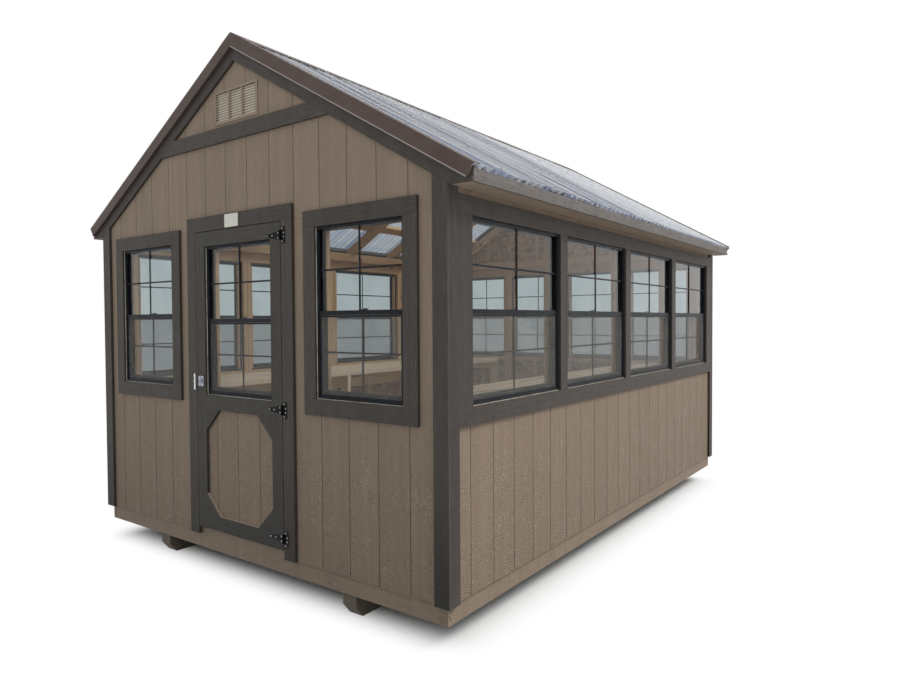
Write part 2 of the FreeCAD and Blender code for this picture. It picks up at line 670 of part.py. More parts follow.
def wave_sheet(side, start, pitch, waves, rise):
    """One corrugated sheet: half waves are arcs, and its two faces are arcs on the same centres."""
    half_depth = (WAVE_DEPTH - SHEET_THICK) / 2
    quarter = pitch / 4
    radius = (quarter**2 + half_depth**2) / (2 * half_depth)
    lean = math.asin(quarter / radius)
    middle = SHEET_BOTTOM + WAVE_DEPTH / 2 + rise
    top = roof_point(side, SHEET_RIDGE_GAP, 0, 0)

    def face_edges(offset):
        edges = []
        for i in range(2 * waves):
            bulge = 1 if i % 2 == 0 else -1
            centre_y = start + (2 * i + 1) * quarter
            centre_n = middle + bulge * (half_depth - radius)
            reach = radius + bulge * offset
            arc = []
            for angle in (-lean, 0, lean):
                y = centre_y + reach * math.sin(angle)
                n = centre_n + bulge * reach * math.cos(angle)
                arc.append(roof_point(side, SHEET_RIDGE_GAP, y, n))
            edges.append(Part.Arc(*arc).toShape())
        return edges

    upper = face_edges(SHEET_THICK / 2)
    lower = face_edges(-SHEET_THICK / 2)
    ends = [
        Part.makeLine(upper[0].firstVertex().Point, lower[0].firstVertex().Point),
        Part.makeLine(upper[-1].lastVertex().Point, lower[-1].lastVertex().Point),
    ]
    outline = Part.Wire(Part.__sortEdges__(upper + lower + ends))
    bottom = roof_point(side, (FASCIA_OUTER + SHEET_OVERHANG) / math.cos(SLOPE), 0, 0)
    return Part.Face(outline).extrude(bottom - top)


def make_roof_cover():
    roof_end = HALF_LENGTH + GABLE_OVERHANG
    pitch = 2 * roof_end / (SHEETS_PER_SLOPE * WAVES_PER_SHEET)
    sheets = []
    for side in (-1, 1):
        for i in range(SHEETS_PER_SLOPE):
            lap = 1 if i < SHEETS_PER_SLOPE - 1 else 0
            start = -roof_end + i * WAVES_PER_SHEET * pitch
            sheets.append(wave_sheet(side, start, pitch, WAVES_PER_SHEET + lap, i % 2 * LAP_RISE))
    save("roof_sheets", sheets)

    leg_inner = GABLE_OVERHANG + FLASHING_GAP
    leg_outer = leg_inner + FLASHING_THICK
    flange_top = FLASHING_BOTTOM + FLASHING_THICK
    leg_bottom = SHEET_TOP - FLASHING_LEG
    eave = FASCIA_OUTER + SHEET_OVERHANG
    flashing = []
    for wall in END_WALLS:
        for side in (-1, 1):
            strips = []
            for low, d0 in ((leg_bottom, leg_inner), (FLASHING_BOTTOM, leg_outer - FLASHING_FLANGE)):
                outline = [
                    (0, roof_line(0, low)),
                    (eave, roof_line(eave, low)),
                    (eave, roof_line(eave, flange_top)),
                    (0, roof_line(0, flange_top)),
                ]
                strips.append(end_prism(wall, flip(outline, side), d0, leg_outer))
            flashing.append(strips[0].fuse(strips[1]).removeSplitter().Solids[0])
    save("rake_flashing", flashing)

    ridge_top = RIDGE_BOTTOM + FLASHING_THICK
    reach = RIDGE_FLANGE * math.cos(SLOPE)
    half = [(reach, roof_line(reach, RIDGE_BOTTOM)), (reach, roof_line(reach, ridge_top))]
    outline = half + [(0, roof_line(0, ridge_top))] + flip(half[::-1], -1) + [(0, roof_line(0, RIDGE_BOTTOM))]
    ridge_end = HALF_LENGTH + leg_outer
    save("ridge_cap", [gable_prism(outline, -ridge_end, ridge_end)])


def make_gable_vents():
    half = VENT_WIDTH / 2
    face = SIDING_THICK + VENT_FRAME_THICK
    pieces = []
    for wall in END_WALLS:
        borders = [
            (-half, -VENT_HOLE_HALF, VENT_BOTTOM, VENT_TOP),
            (VENT_HOLE_HALF, half, VENT_BOTTOM, VENT_TOP),
            (-VENT_HOLE_HALF, VENT_HOLE_HALF, VENT_BOTTOM, VENT_HOLE_BOTTOM),
            (-VENT_HOLE_HALF, VENT_HOLE_HALF, VENT_HOLE_TOP, VENT_TOP),
        ]
        third = VENT_HOLE_HALF / 3
        for middle in (-third, third):
            borders.append(
                (middle - VENT_MULLION / 2, middle + VENT_MULLION / 2, VENT_HOLE_BOTTOM, VENT_HOLE_TOP)
            )
        pieces += [wall_box(wall, u0, u1, SIDING_THICK, face, z0, z1) for u0, u1, z0, z1 in borders]
        length = 2 * (VENT_HOLE_HALF - LOUVER_CLEARANCE)
        side = -1 if wall == "front" else 1
        pitch = (VENT_HOLE_TOP - VENT_HOLE_BOTTOM) / LOUVER_COUNT
        for i in range(LOUVER_COUNT):
            slat = Part.makeBox(length, LOUVER_CHORD, LOUVER_THICK)
            slat.translate(vec(-length / 2, -LOUVER_CHORD / 2, -LOUVER_THICK / 2))
            slat.rotate(vec(0, 0, 0), vec(1, 0, 0), -side * LOUVER_TILT)
            middle = side * (HALF_LENGTH + SIDING_THICK / 2)
            slat.translate(vec(0, middle, VENT_HOLE_BOTTOM + (i + 0.5) * pitch))
            pieces.append(slat)
    save("gable_vents", pieces)


def make_window(wall, left, right, bottom, top):
    """The pieces of one single-hung window in an opening, by what they are."""
    left += FIT_GAP
    right -= FIT_GAP
    low = bottom + FIT_GAP
    high = top - FIT_GAP
    in_left = left + FRAME_FACE
    in_right = right - FRAME_FACE
    in_low = low + FRAME_FACE
    in_high = high - FRAME_FACE
    middle_u = (left + right) / 2
    middle_z = (low + high) / 2
    rail_low = middle_z - MEETING_RAIL / 2
    rail_high = middle_z + MEETING_RAIL / 2
    frame_front = SIDING_THICK + FRAME_PROUD
    frame_back = frame_front - FRAME_DEPTH
    bead_back = GLASS_PLANE - BEAD_THICK
    sash_front = bead_back - SASH_CLEARANCE
    sash_back = sash_front - SASH_THICK
    stop_front = sash_back - SASH_CLEARANCE
    half_bar = BAR_WIDTH / 2

    def member(u0, u1, d0, d1, z0, z1):
        return wall_box(wall, u0, u1, d0, d1, z0, z1)

    def bars(u0, u1, z0, z1, d0):
        """An upright bar and the two halves of a level one, across a pane."""
        mid = (z0 + z1) / 2
        d1 = d0 + BAR_THICK
        return [
            member(middle_u - half_bar, middle_u + half_bar, d0, d1, z0, z1),
            member(u0, middle_u - half_bar, d0, d1, mid - half_bar, mid + half_bar),
            member(middle_u + half_bar, u1, d0, d1, mid - half_bar, mid + half_bar),
        ]

    frame = [
        member(left, in_left, frame_back, frame_front, low, high),
        member(in_right, right, frame_back, frame_front, low, high),
        member(in_left, in_right, frame_back, frame_front, low, in_low),
        member(in_left, in_right, frame_back, frame_front, in_high, high),
        member(in_left, in_left + BEAD_WIDTH, bead_back, GLASS_PLANE, in_low, in_high),
        member(in_right - BEAD_WIDTH, in_right, bead_back, GLASS_PLANE, in_low, in_high),
        member(in_left, in_left + STOP_WIDTH, frame_back, stop_front, in_low, in_high),
        member(in_right - STOP_WIDTH, in_right, frame_back, stop_front, in_low, in_high),
    ]
    pane_front = GLASS_PLANE + PANE_THICK
    rail = member(in_left, in_right, GLASS_PLANE, RAIL_FRONT, rail_low, rail_high)
    upper_pane = member(in_left, in_right, GLASS_PLANE, pane_front, rail_high, in_high)

    screen_left = in_left + FIT_GAP
    screen_right = in_right - FIT_GAP
    screen_low = in_low + FIT_GAP
    screen_high = rail_low - FIT_GAP
    net_left = screen_left + SCREEN_BAR
    net_right = screen_right - SCREEN_BAR
    net_low = screen_low + SCREEN_BAR
    net_high = screen_high - SCREEN_BAR
    screen_back = RAIL_FRONT - SCREEN_THICK
    screen = [
        member(screen_left, net_left, screen_back, RAIL_FRONT, screen_low, screen_high),
        member(net_right, screen_right, screen_back, RAIL_FRONT, screen_low, screen_high),
        member(net_left, net_right, screen_back, RAIL_FRONT, screen_low, net_low),
        member(net_left, net_right, screen_back, RAIL_FRONT, net_high, screen_high),
    ]
    net_plane = (RAIL_FRONT + screen_back) / 2
    net = member(net_left, net_right, net_plane, net_plane + MESH_THICK, net_low, net_high)

    sash_left = in_left + SASH_CLEARANCE
    sash_right = in_right - SASH_CLEARANCE
    sash_low = in_low + SASH_SEAT
    sash_high = middle_z + SASH_LAP
    lite_left = sash_left + SASH_STILE
    lite_right = sash_right - SASH_STILE
    lite_low = sash_low + SASH_BOTTOM_RAIL
    lite_high = sash_high - SASH_STILE
    sash_pane = sash_front - BAR_THICK - PANE_THICK
    lift_low = (sash_low + lite_low - LIFT_HEIGHT) / 2
    sash = [
        member(sash_left, lite_left, sash_back, sash_front, sash_low, sash_high),
        member(lite_right, sash_right, sash_back, sash_front, sash_low, sash_high),
        member(lite_left, lite_right, sash_back, sash_front, sash_low, lite_low),
        member(lite_left, lite_right, sash_back, sash_front, lite_high, sash_high),
        member(lite_left, lite_right, sash_pane, sash_pane + PANE_THICK, lite_low, lite_high),
        member(
            middle_u - LIFT_WIDTH / 2,
            middle_u + LIFT_WIDTH / 2,
            sash_back - LIFT_DEPTH,
            sash_back,
            lift_low,
            lift_low + LIFT_HEIGHT,
        ),
    ] + bars(lite_left, lite_right, lite_low, lite_high, sash_front - BAR_THICK)
    return {
        "frame": frame,
        "bars": [rail] + bars(in_left, in_right, rail_high, in_high, pane_front),
        "pane": [upper_pane],
        "screen": screen,
        "net": [net],
        "sash": sash,
    }


def make_windows():
    fixed = {"frame": [], "bars": [], "pane": [], "screen": [], "net": []}
    for wall in WINDOWS:
        for number, (left, right) in enumerate(window_edges(wall), 1):
            window = make_window(wall, left, right, WINDOW_BOTTOM, WINDOW_TOP)
            save(f"lower_sash_{wall}_{number}", window["sash"])
            for kind in fixed:
                fixed[kind] += window[kind]
    save("window_frames", fixed["frame"])
    save("window_bars", fixed["bars"])
    save("upper_panes", fixed["pane"])
    save("screen_frames", fixed["screen"])
    save("screen_nets", fixed["net"])


def make_benches():
    top = DECK_TOP + BENCH_HEIGHT
    bearer_top = top - LUMBER
    bearer_bottom = bearer_top - STUD_DEPTH
    front = INNER_WIDTH - BENCH_DEPTH
    end = INNER_LENGTH - BENCH_END_GAP
    slats = []
    frames = []
    for side in (-1, 1):
        for near in spread(front, INNER_WIDTH - STUD_DEPTH, BENCH_SLATS):
            x0, x1 = sorted((side * near, side * (near + STUD_DEPTH)))
            slats.append(box(x0, x1, -end, end, bearer_top, top))
        x0, x1 = sorted((side * (INNER_WIDTH - LUMBER), side * INNER_WIDTH))
        frames.append(box(x0, x1, -end, end, bearer_bottom - STUD_DEPTH, bearer_bottom))
        for y in spread(-end, end - LUMBER, BENCH_BEARERS):
            x0, x1 = sorted((side * front, side * INNER_WIDTH))
            frames.append(box(x0, x1, y, y + LUMBER, bearer_bottom, bearer_top))
            x0, x1 = sorted((side * front, side * (front + STUD_DEPTH)))
            frames.append(box(x0, x1, y, y + LUMBER, DECK_TOP, bearer_bottom))
    save("bench_slats", slats)
    save("bench_frames", frames)


def handle_hole(solid):
    """The solid with the hole that the handle's stem passes through."""
    reach = FRAME_DEPTH + TRIM_FACE
    start = vec(HANDLE_X, -HALF_LENGTH - reach, HANDLE_Z)
    return solid.cut(rod(STEM_RADIUS + STEM_CLEARANCE, start, vec(0, 2 * reach, 0))).Solids[0]


def door_board(u0, u1, d0, d1, z0, z1):
    return wall_box("front", u0, u1, d0, d1, z0, z1)


def make_door():
    panel_back = DOOR_BACK_GAP
    face = SIDING_THICK
    lower = door_board(-HALF_DOOR, HALF_DOOR, panel_back, face, DOOR_BOTTOM, LITE_BOTTOM)
    panel = [
        grooved(lower, "front", DOOR_GROOVE_START, -DOOR_LITE, DOOR_LITE, DOOR_BOTTOM, LITE_BOTTOM),
        handle_hole(door_board(-HALF_DOOR, -DOOR_LITE, panel_back, face, LITE_BOTTOM, LITE_TOP)),
        door_board(DOOR_LITE, HALF_DOOR, panel_back, face, LITE_BOTTOM, LITE_TOP),
        door_board(-HALF_DOOR, HALF_DOOR, panel_back, face, LITE_TOP, DOOR_TOP),
    ]
    save("door_panel", panel)

    boards = [
        handle_hole(door_board(-HALF_DOOR, -DOOR_LITE, face, TRIM_FACE, DOOR_BOTTOM, DOOR_TOP)),
        door_board(DOOR_LITE, HALF_DOOR, face, TRIM_FACE, DOOR_BOTTOM, DOOR_TOP),
        door_board(-DOOR_LITE, DOOR_LITE, face, TRIM_FACE, DOOR_BOTTOM, BOTTOM_RAIL_TOP),
        door_board(-DOOR_LITE, DOOR_LITE, face, TRIM_FACE, MID_RAIL_BOTTOM, LITE_BOTTOM),
        door_board(-DOOR_LITE, DOOR_LITE, face, TRIM_FACE, LITE_TOP, DOOR_TOP),
    ]
    for side in (-1, 1):
        for corner, step in ((BOTTOM_RAIL_TOP, CORNER_BLOCK), (MID_RAIL_BOTTOM, -CORNER_BLOCK)):
            block = [(DOOR_LITE, corner), (DOOR_LITE, corner + step), (DOOR_LITE - CORNER_BLOCK, corner)]
            boards.append(end_prism("front", flip(block, side), face, TRIM_FACE))
    save("door_boards", boards)

    outer = HALF_DOOR - DOOR_FRAME_SETBACK
    back = DOOR_FRAME_BACK
    low = DECK_TOP + DOOR_FRAME_LIFT
    high = DOOR_TOP - DOOR_FRAME_SETBACK
    frame = [
        handle_hole(door_board(-outer, -DOOR_LITE, back, panel_back, low, high)),
        door_board(DOOR_LITE, outer, back, panel_back, low, high),
        door_board(-DOOR_LITE, DOOR_LITE, back, panel_back, low, low + STUD_DEPTH),
        door_board(-DOOR_LITE, DOOR_LITE, back, panel_back, LITE_BOTTOM - STUD_DEPTH, LITE_BOTTOM),
        door_board(-DOOR_LITE, DOOR_LITE, back, panel_back, LITE_TOP, high),
    ]
    save("door_frame", frame)

    window = make_window("front", -DOOR_LITE, DOOR_LITE, LITE_BOTTOM, LITE_TOP)
    save("door_window_frame", window["frame"])
    save("door_window_bars", window["bars"] + window["screen"])
    save("door_upper_pane", window["pane"])
    save("door_screen_net", window["net"])
    save("door_lower_sash", window["sash"])

    stop_inner = DOORWAY - STOP_LAP
    front, rear = DOOR_STOP_FRONT, DOOR_STOP_BACK
    stops = [
        door_board(-DOORWAY, -stop_inner, rear, front, DECK_TOP, DOOR_HEADER),
        door_board(stop_inner, DOORWAY, rear, front, DECK_TOP, DOOR_HEADER),
        door_board(-stop_inner, stop_inner, rear, front, DOOR_HEADER - STOP_LAP, DOOR_HEADER),
    ]
    save("door_stops", stops)


def knuckle(z0, z1, tab_x0, tab_x1):
    """A rolled knuckle round the hinge line, with the tab that joins it to its leaf."""
    axis = vec(HINGE_X, -HALF_LENGTH - HINGE_D, z0)
    up = vec(0, 0, z1 - z0)
    tab = door_board(tab_x0, tab_x1, TRIM_FACE, TRIM_FACE + HINGE_LEAF, z0, z1)
    ring = rod(BARREL_RADIUS, axis, up).fuse(tab)
    return ring.cut(rod(PIN_RADIUS + PIN_CLEARANCE, axis, up))


def make_hinges():
    straps = []
    plates = []
    pins = []
    clear = BARREL_RADIUS + BARREL_CLEARANCE
    half_barrel = BARREL_LENGTH / 2
    half_middle = MIDDLE_KNUCKLE / 2
    middle_hinge = (MID_RAIL_BOTTOM + LITE_BOTTOM) / 2
    for z in (DOOR_BOTTOM + BOTTOM_HINGE_RISE, middle_hinge, DOOR_TOP - TOP_HINGE_DROP):
        root = HINGE_X - clear
        outline = [
            (root, z - STRAP_ROOT / 2),
            (root, z + STRAP_ROOT / 2),
            (root - STRAP_LENGTH, z + STRAP_TIP / 2),
            (root - STRAP_LENGTH, z - STRAP_TIP / 2),
        ]
        leaf = end_prism("front", outline, TRIM_FACE, TRIM_FACE + HINGE_LEAF)
        roll = knuckle(z - half_middle, z + half_middle, root, HINGE_X)
        straps.append(leaf.fuse(roll).removeSplitter().Solids[0])

        root = HINGE_X + clear
        plate = door_board(
            root,
            root + PLATE_WIDTH,
            TRIM_FACE,
            TRIM_FACE + HINGE_LEAF,
            z - PLATE_HEIGHT / 2,
            z + PLATE_HEIGHT / 2,
        )
        upper = knuckle(z + half_middle + KNUCKLE_GAP, z + half_barrel, HINGE_X, root)
        lower = knuckle(z - half_barrel, z - half_middle - KNUCKLE_GAP, HINGE_X, root)
        plates.append(plate.fuse([upper, lower]).removeSplitter().Solids[0])

        foot = vec(HINGE_X, -HALF_LENGTH - HINGE_D, z - half_barrel - PIN_OVERHANG)
        pins.append(rod(PIN_RADIUS, foot, vec(0, 0, BARREL_LENGTH + 2 * PIN_OVERHANG)))
    save("hinge_straps", straps)
    save("hinge_plates", plates)
    save("hinge_pins", pins)


def make_handle():
    half = BASE_WIDTH / 2
    tall = BASE_HEIGHT / 2
    base_face = TRIM_FACE + BASE_THICK
    base = door_board(
        HANDLE_X - half, HANDLE_X + half, TRIM_FACE, base_face, HANDLE_Z - tall, HANDLE_Z + tall
    )
    collar = rod(COLLAR_RADIUS, vec(HANDLE_X, -HALF_LENGTH - base_face, HANDLE_Z), vec(0, -COLLAR_LENGTH, 0))
    save("handle_base", [handle_hole(base.fuse(collar))])

    cam_front = DOOR_STOP_BACK - CAM_CLEARANCE
    grip_d = TRIM_FACE + GRIP_STANDOFF
    stem = rod(STEM_RADIUS, vec(HANDLE_X, -HALF_LENGTH - cam_front, HANDLE_Z), vec(0, cam_front - grip_d, 0))
    foot = vec(HANDLE_X, -HALF_LENGTH - grip_d, HANDLE_Z - GRIP_LENGTH / 2)
    grip = rod(GRIP_RADIUS, foot, vec(0, 0, GRIP_LENGTH))
    rims = [edge for edge in grip.Edges if isinstance(edge.Curve, Part.Circle)]
    grip = grip.makeFillet(GRIP_ROUND, rims)
    save("door_handle", [stem.fuse(grip).removeSplitter().Solids[0]])

    cam = door_board(
        HANDLE_X - CAM_WIDTH / 2,
        HANDLE_X + CAM_WIDTH / 2,
        cam_front - CAM_THICK,
        cam_front,
        HANDLE_Z - CAM_LENGTH,
        HANDLE_Z + CAM_TAIL,
    )
    save("latch_cam", [cam])


os.makedirs("parts", exist_ok=True)
make_floor()
make_wall_frames()
make_siding()
make_trim()
make_roof_frame()
make_roof_cover()
make_gable_vents()
make_windows()
make_benches()
make_door()
make_hinges()
make_handle()
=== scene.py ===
import json
import math
import random

import bmesh
import bpy
from mathutils import Matrix, Vector

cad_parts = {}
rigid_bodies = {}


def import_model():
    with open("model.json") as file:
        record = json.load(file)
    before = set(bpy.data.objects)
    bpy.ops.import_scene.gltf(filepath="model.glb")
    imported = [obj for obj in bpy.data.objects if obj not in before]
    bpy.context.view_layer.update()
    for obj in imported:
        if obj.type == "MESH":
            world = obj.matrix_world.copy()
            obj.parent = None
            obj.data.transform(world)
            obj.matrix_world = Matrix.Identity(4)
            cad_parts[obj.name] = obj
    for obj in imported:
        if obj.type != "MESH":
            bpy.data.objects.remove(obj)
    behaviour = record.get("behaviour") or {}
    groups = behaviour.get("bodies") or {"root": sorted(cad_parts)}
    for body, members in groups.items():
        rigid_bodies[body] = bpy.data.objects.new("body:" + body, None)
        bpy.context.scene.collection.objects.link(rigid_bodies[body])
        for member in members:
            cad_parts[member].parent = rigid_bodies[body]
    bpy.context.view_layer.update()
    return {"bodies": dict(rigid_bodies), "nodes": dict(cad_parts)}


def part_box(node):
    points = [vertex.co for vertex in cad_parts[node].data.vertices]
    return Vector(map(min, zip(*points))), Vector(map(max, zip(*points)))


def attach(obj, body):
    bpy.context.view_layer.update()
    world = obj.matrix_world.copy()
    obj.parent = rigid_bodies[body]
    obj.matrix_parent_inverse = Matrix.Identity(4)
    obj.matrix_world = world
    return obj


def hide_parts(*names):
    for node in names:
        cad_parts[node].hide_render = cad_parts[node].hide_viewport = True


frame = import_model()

# Skids: two treated timbers that carry the floor, their ends bevelled so that the building can be dragged.
# Rough-sawn and unpainted, they lie on the ground and have weathered grey-brown along the grain.
SKID_EASE = 0.005
CORNER_DIGITS = 5
FLAT_ANGLE = math.radians(1)
SHARP_ANGLE = math.radians(30)
PITH_RUN = 40
PITH_ASIDE = 0.03
PITH_DEPTH = (0.02, 0.07)
WIDE_FACE_WEIGHT = 100


def solids_of(node):
    """The solids of a CAD node, each as a list of triangles. One is whole when all its edges are paired."""
    mesh = frame["nodes"][node].data
    solids = []
    triangles = []
    unpaired = set()
    for polygon in mesh.polygons:
        corners = [tuple(round(c, CORNER_DIGITS) for c in mesh.vertices[i].co) for i in polygon.vertices]
        triangles.append(corners)
        for edge in zip(corners, corners[1:] + corners[:1]):
            if edge[::-1] in unpaired:
                unpaired.remove(edge[::-1])
            elif edge[0] != edge[1]:
                unpaired.add(edge)
        if not unpaired:
            solids.append(triangles)
            triangles = []
    return solids


def whole_faces(solids):
    """A mesh of separate solids, with their triangles joined to whole flat faces."""
    mesh = bmesh.new()
    for triangles in solids:
        points = {}
        for corners in triangles:
            for corner in corners:
                if corner not in points:
                    points[corner] = mesh.verts.new(corner)
            mesh.faces.new([points[corner] for corner in corners])
    mesh.normal_update()
    bmesh.ops.dissolve_limit(mesh, angle_limit=FLAT_ANGLE, verts=mesh.verts, edges=mesh.edges)
    mesh.normal_update()
    return mesh


def round_over(mesh, edges, width, steps):
    """Rounds edges of a mesh, and gives back the new faces."""
    made = bmesh.ops.bevel(
        mesh, geom=edges, offset=width, offset_type="OFFSET", segments=steps, profile=0.5,
        affect="EDGES", clamp_overlap=True,
    )
    return made["faces"]


def ease_edges(mesh, ease, steps=2):
    """Rounds the sharp edges, and marks the new faces as edges."""
    mark = mesh.faces.layers.float.new("edge")
    mesh.normal_update()
    sharp = [e for e in mesh.edges if e.is_manifold and e.calc_face_angle() > SHARP_ANGLE]
    for face in round_over(mesh, sharp, ease, steps):
        face[mark] = 1.0


def eased(solids, ease):
    """A mesh of solids with their edges eased."""
    mesh = whole_faces(solids)
    ease_edges(mesh, ease)
    return mesh


def separate_boards(mesh):
    """The faces of each board of a mesh."""
    mesh.faces.index_update()
    seen = set()
    boards = []
    for first in mesh.faces:
        if first.index in seen:
            continue
        seen.add(first.index)
        waiting = [first]
        board = []
        while waiting:
            face = waiting.pop()
            board.append(face)
            for edge in face.edges:
                for other in edge.link_faces:
                    if other.index not in seen:
                        seen.add(other.index)
                        waiting.append(other)
        boards.append(board)
    return boards


def draw_pith(draw, aside, depth):
    """Where a board lies from the pith of its tree."""
    return Vector((draw.uniform(0, PITH_RUN), draw.uniform(-aside, aside), draw.uniform(*depth)))


def lay_grain(mesh, seed):
    """Gives each point its place along, across and through its board, from the pith of the tree."""
    place = mesh.verts.layers.float_vector.new("board")
    tone = mesh.faces.layers.float.new("tone")
    draw = random.Random(seed)
    for faces in separate_boards(mesh):
        longest = max((e for f in faces for e in f.edges), key=lambda e: e.calc_length())
        along = (longest.verts[1].co - longest.verts[0].co).normalized()
        through = max(faces, key=lambda f: f.calc_area()).normal.copy()
        across = through.cross(along)
        middle = faces[0].verts[0].co.copy()
        pith = draw_pith(draw, PITH_ASIDE, PITH_DEPTH)
        shade = draw.random()
        for face in faces:
            face[tone] = shade
            for vert in face.verts:
                away = vert.co - middle
                vert[place] = pith + Vector((away.dot(along), away.dot(across), away.dot(through)))


def new_piece(name, mesh, smooth=True):
    """Turns a finished mesh into an object, shaded flat on its wide faces and round on its eased edges."""
    bmesh.ops.recalc_face_normals(mesh, faces=mesh.faces)
    data = bpy.data.meshes.new(name)
    mesh.to_mesh(data)
    mesh.free()
    piece = bpy.data.objects.new(name, data)
    bpy.context.scene.collection.objects.link(piece)
    if smooth:
        data.shade_smooth()
        piece.modifiers.new("even_shading", "WEIGHTED_NORMAL").weight = WIDE_FACE_WEIGHT
    return piece


def fit(piece, finish, slot, body, *stands_for):
    """Finishes a piece: its material, the body it rides on and the nodes it stands for. The slot is not
    used.
    """
    piece.data.materials.append(finish.material)
    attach(piece, body)
    if stands_for:
        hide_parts(*stands_for)
    return piece


def sawn(name, solids, ease):
    """Boards with eased edges and their own grain."""
    mesh = eased(solids, ease)
    lay_grain(mesh, name)
    return new_piece(name, mesh)


def fit_boards(name, node, ease, finish, slot, body="building"):
    """Saws the boards of a CAD node and fits them."""
    return fit(sawn(name, solids_of(node), ease), finish, slot, body, node)


def tint(red, green, blue):
    """A colour as it looks on a screen, 0 to 255, as the linear colour that shaders take."""
    linear = []
    for c in (red / 255, green / 255, blue / 255):
        linear.append(c / 12.92 if c <= 0.04045 else ((c + 0.055) / 1.055) ** 2.4)
    return (*linear, 1.0)


class Mix:
    """A node tree being put together. An input takes a plain value, or the socket that feeds it."""

    def __init__(self, tree):
        self.tree = tree

    def feed(self, value, socket):
        if isinstance(value, bpy.types.NodeSocket):
            self.tree.links.new(value, socket)
        else:
            socket.default_value = value

    def add(self, kind, inputs=None, **settings):
        made = self.tree.nodes.new("ShaderNode" + kind)
        for name, value in settings.items():
            setattr(made, name, value)
        for name, value in (inputs or {}).items():
            self.feed(value, made.inputs[name])
        return made

    def group(self, group, inputs=None):
        return self.add("Group", inputs, node_tree=group).outputs

    def sum_of(self, operation, first, second=0.0):
        return self.add("Math", {0: first, 1: second}, operation=operation).outputs[0]

    def times(self, first, second):
        return self.sum_of("MULTIPLY", first, second)

    def plus(self, first, second):
        return self.sum_of("ADD", first, second)

    def most(self, first, second):
        return self.sum_of("MAXIMUM", first, second)

    def vector(self, operation, *inputs, output="Vector"):
        return self.add("VectorMath", dict(enumerate(inputs)), operation=operation).outputs[output]

    def axis(self, vector, name):
        return self.add("SeparateXYZ", {0: vector}).outputs[name]

    def spot(self):
        """Where a point is on the building."""
        return self.add("TexCoord").outputs["Object"]

    def attribute(self, name, output="Fac"):
        return self.add("Attribute", attribute_name=name).outputs[output]

    def ramp(self, value, start, end, low=0.0, high=1.0):
        """A value carried smoothly from one range to another."""
        inputs = {"Value": value, "From Min": start, "From Max": end, "To Min": low, "To Max": high}
        return self.add("MapRange", inputs, interpolation_type="SMOOTHSTEP").outputs["Result"]

    def blend(self, factor, first, second):
        """A mix of two colours."""
        return self.add("Mix", {0: factor, 6: first, 7: second}, data_type="RGBA").outputs[2]

    def stretched(self, vector, stretch):
        """Coordinates stretched by so much each way, or by one number all ways."""
        ways = stretch if isinstance(stretch, tuple) else (stretch, stretch, stretch)
        return self.vector("MULTIPLY", vector, ways)

    def noise(self, vector, stretch, detail=2.0):
        inputs = {"Vector": self.stretched(vector, stretch), "Scale": 1.0, "Detail": detail}
        return self.add("TexNoise", inputs).outputs[0]

    def cells(self, vector, stretch):
        """Cells of a pattern: a number drawn for each cell, and the distance from its middle."""
        cell = self.add("TexVoronoi", {"Vector": self.stretched(vector, stretch), "Scale": 1.0}).outputs
        return self.add("SeparateColor", {"Color": cell["Color"]}).outputs[0], cell["Distance"]


class Finish(Mix):
    """A material being put together. Its skin holds the inputs of its shader."""

    def __init__(self, name):
        self.material = bpy.data.materials.new(name)
        self.material.use_nodes = True
        super().__init__(self.material.node_tree)
        self.tree.nodes.clear()
        shader = self.add("BsdfPrincipled")
        self.skin = shader.inputs
        self.surface = self.add("OutputMaterial", {"Surface": shader.outputs[0]}).inputs["Surface"]

    def give(self, name, value):
        self.feed(value, self.skin[name])

    def bump(self, height, depth, strength=1.0):
        inputs = {"Height": height, "Distance": depth, "Strength": strength}
        self.give("Normal", self.add("Bump", inputs).outputs[0])

    def cover(self, mask, colour):
        """Lays a colour over the base colour where the mask is one."""
        bare = self.skin["Base Color"].links[0].from_socket
        self.give("Base Color", self.blend(mask, bare, colour))


def new_group(name, inputs, outputs):
    """A shader node group: named inputs, each with a usual value, and outputs that are plain numbers."""
    group = bpy.data.node_groups.new(name, "ShaderNodeTree")
    for title, usual in inputs.items():
        kind = "NodeSocketVector" if isinstance(usual, tuple) else "NodeSocketFloat"
        group.interface.new_socket(title, in_out="INPUT", socket_type=kind).default_value = usual
    for title in outputs:
        group.interface.new_socket(title, in_out="OUTPUT", socket_type="NodeSocketFloat")
    return Mix(group), group.nodes.new("NodeGroupInput").outputs, group.nodes.new("NodeGroupOutput").inputs


def make_timber_grain():
    """Growth rings about the pith, fine fibres and coarser saw streaks along the board, and knots."""
    usual = {"Board": (0.0, 0.0, 0.0), "Ring Width": 0.005, "Wander": 0.012, "Knots": 0.15}
    mix, given, result = new_group("timber_grain", usual, ("Rings", "Fibres", "Streaks", "Knots"))
    board = given["Board"]
    draw, distance = mix.cells(board, (7.0, 17.0, 5.0))
    knot = mix.times(mix.ramp(distance, 0.34, 0.1), mix.sum_of("LESS_THAN", draw, given["Knots"]))
    radius = mix.vector("LENGTH", mix.stretched(board, (0.0, 1.0, 1.0)), output="Value")
    drift = mix.sum_of("SUBTRACT", mix.noise(board, (1.4, 9.0, 9.0)), 0.5)
    drift = mix.plus(drift, mix.times(knot, 0.5))
    wandered = mix.plus(radius, mix.times(drift, given["Wander"]))
    turns = mix.sum_of("DIVIDE", wandered, given["Ring Width"])
    mix.feed(mix.sum_of("POWER", mix.sum_of("FRACT", turns), 2.0), result["Rings"])
    mix.feed(mix.noise(board, (15.0, 420.0, 420.0), 3.0), result["Fibres"])
    mix.feed(mix.noise(board, (9.0, 160.0, 160.0), 3.0), result["Streaks"])
    mix.feed(knot, result["Knots"])
    return mix.tree


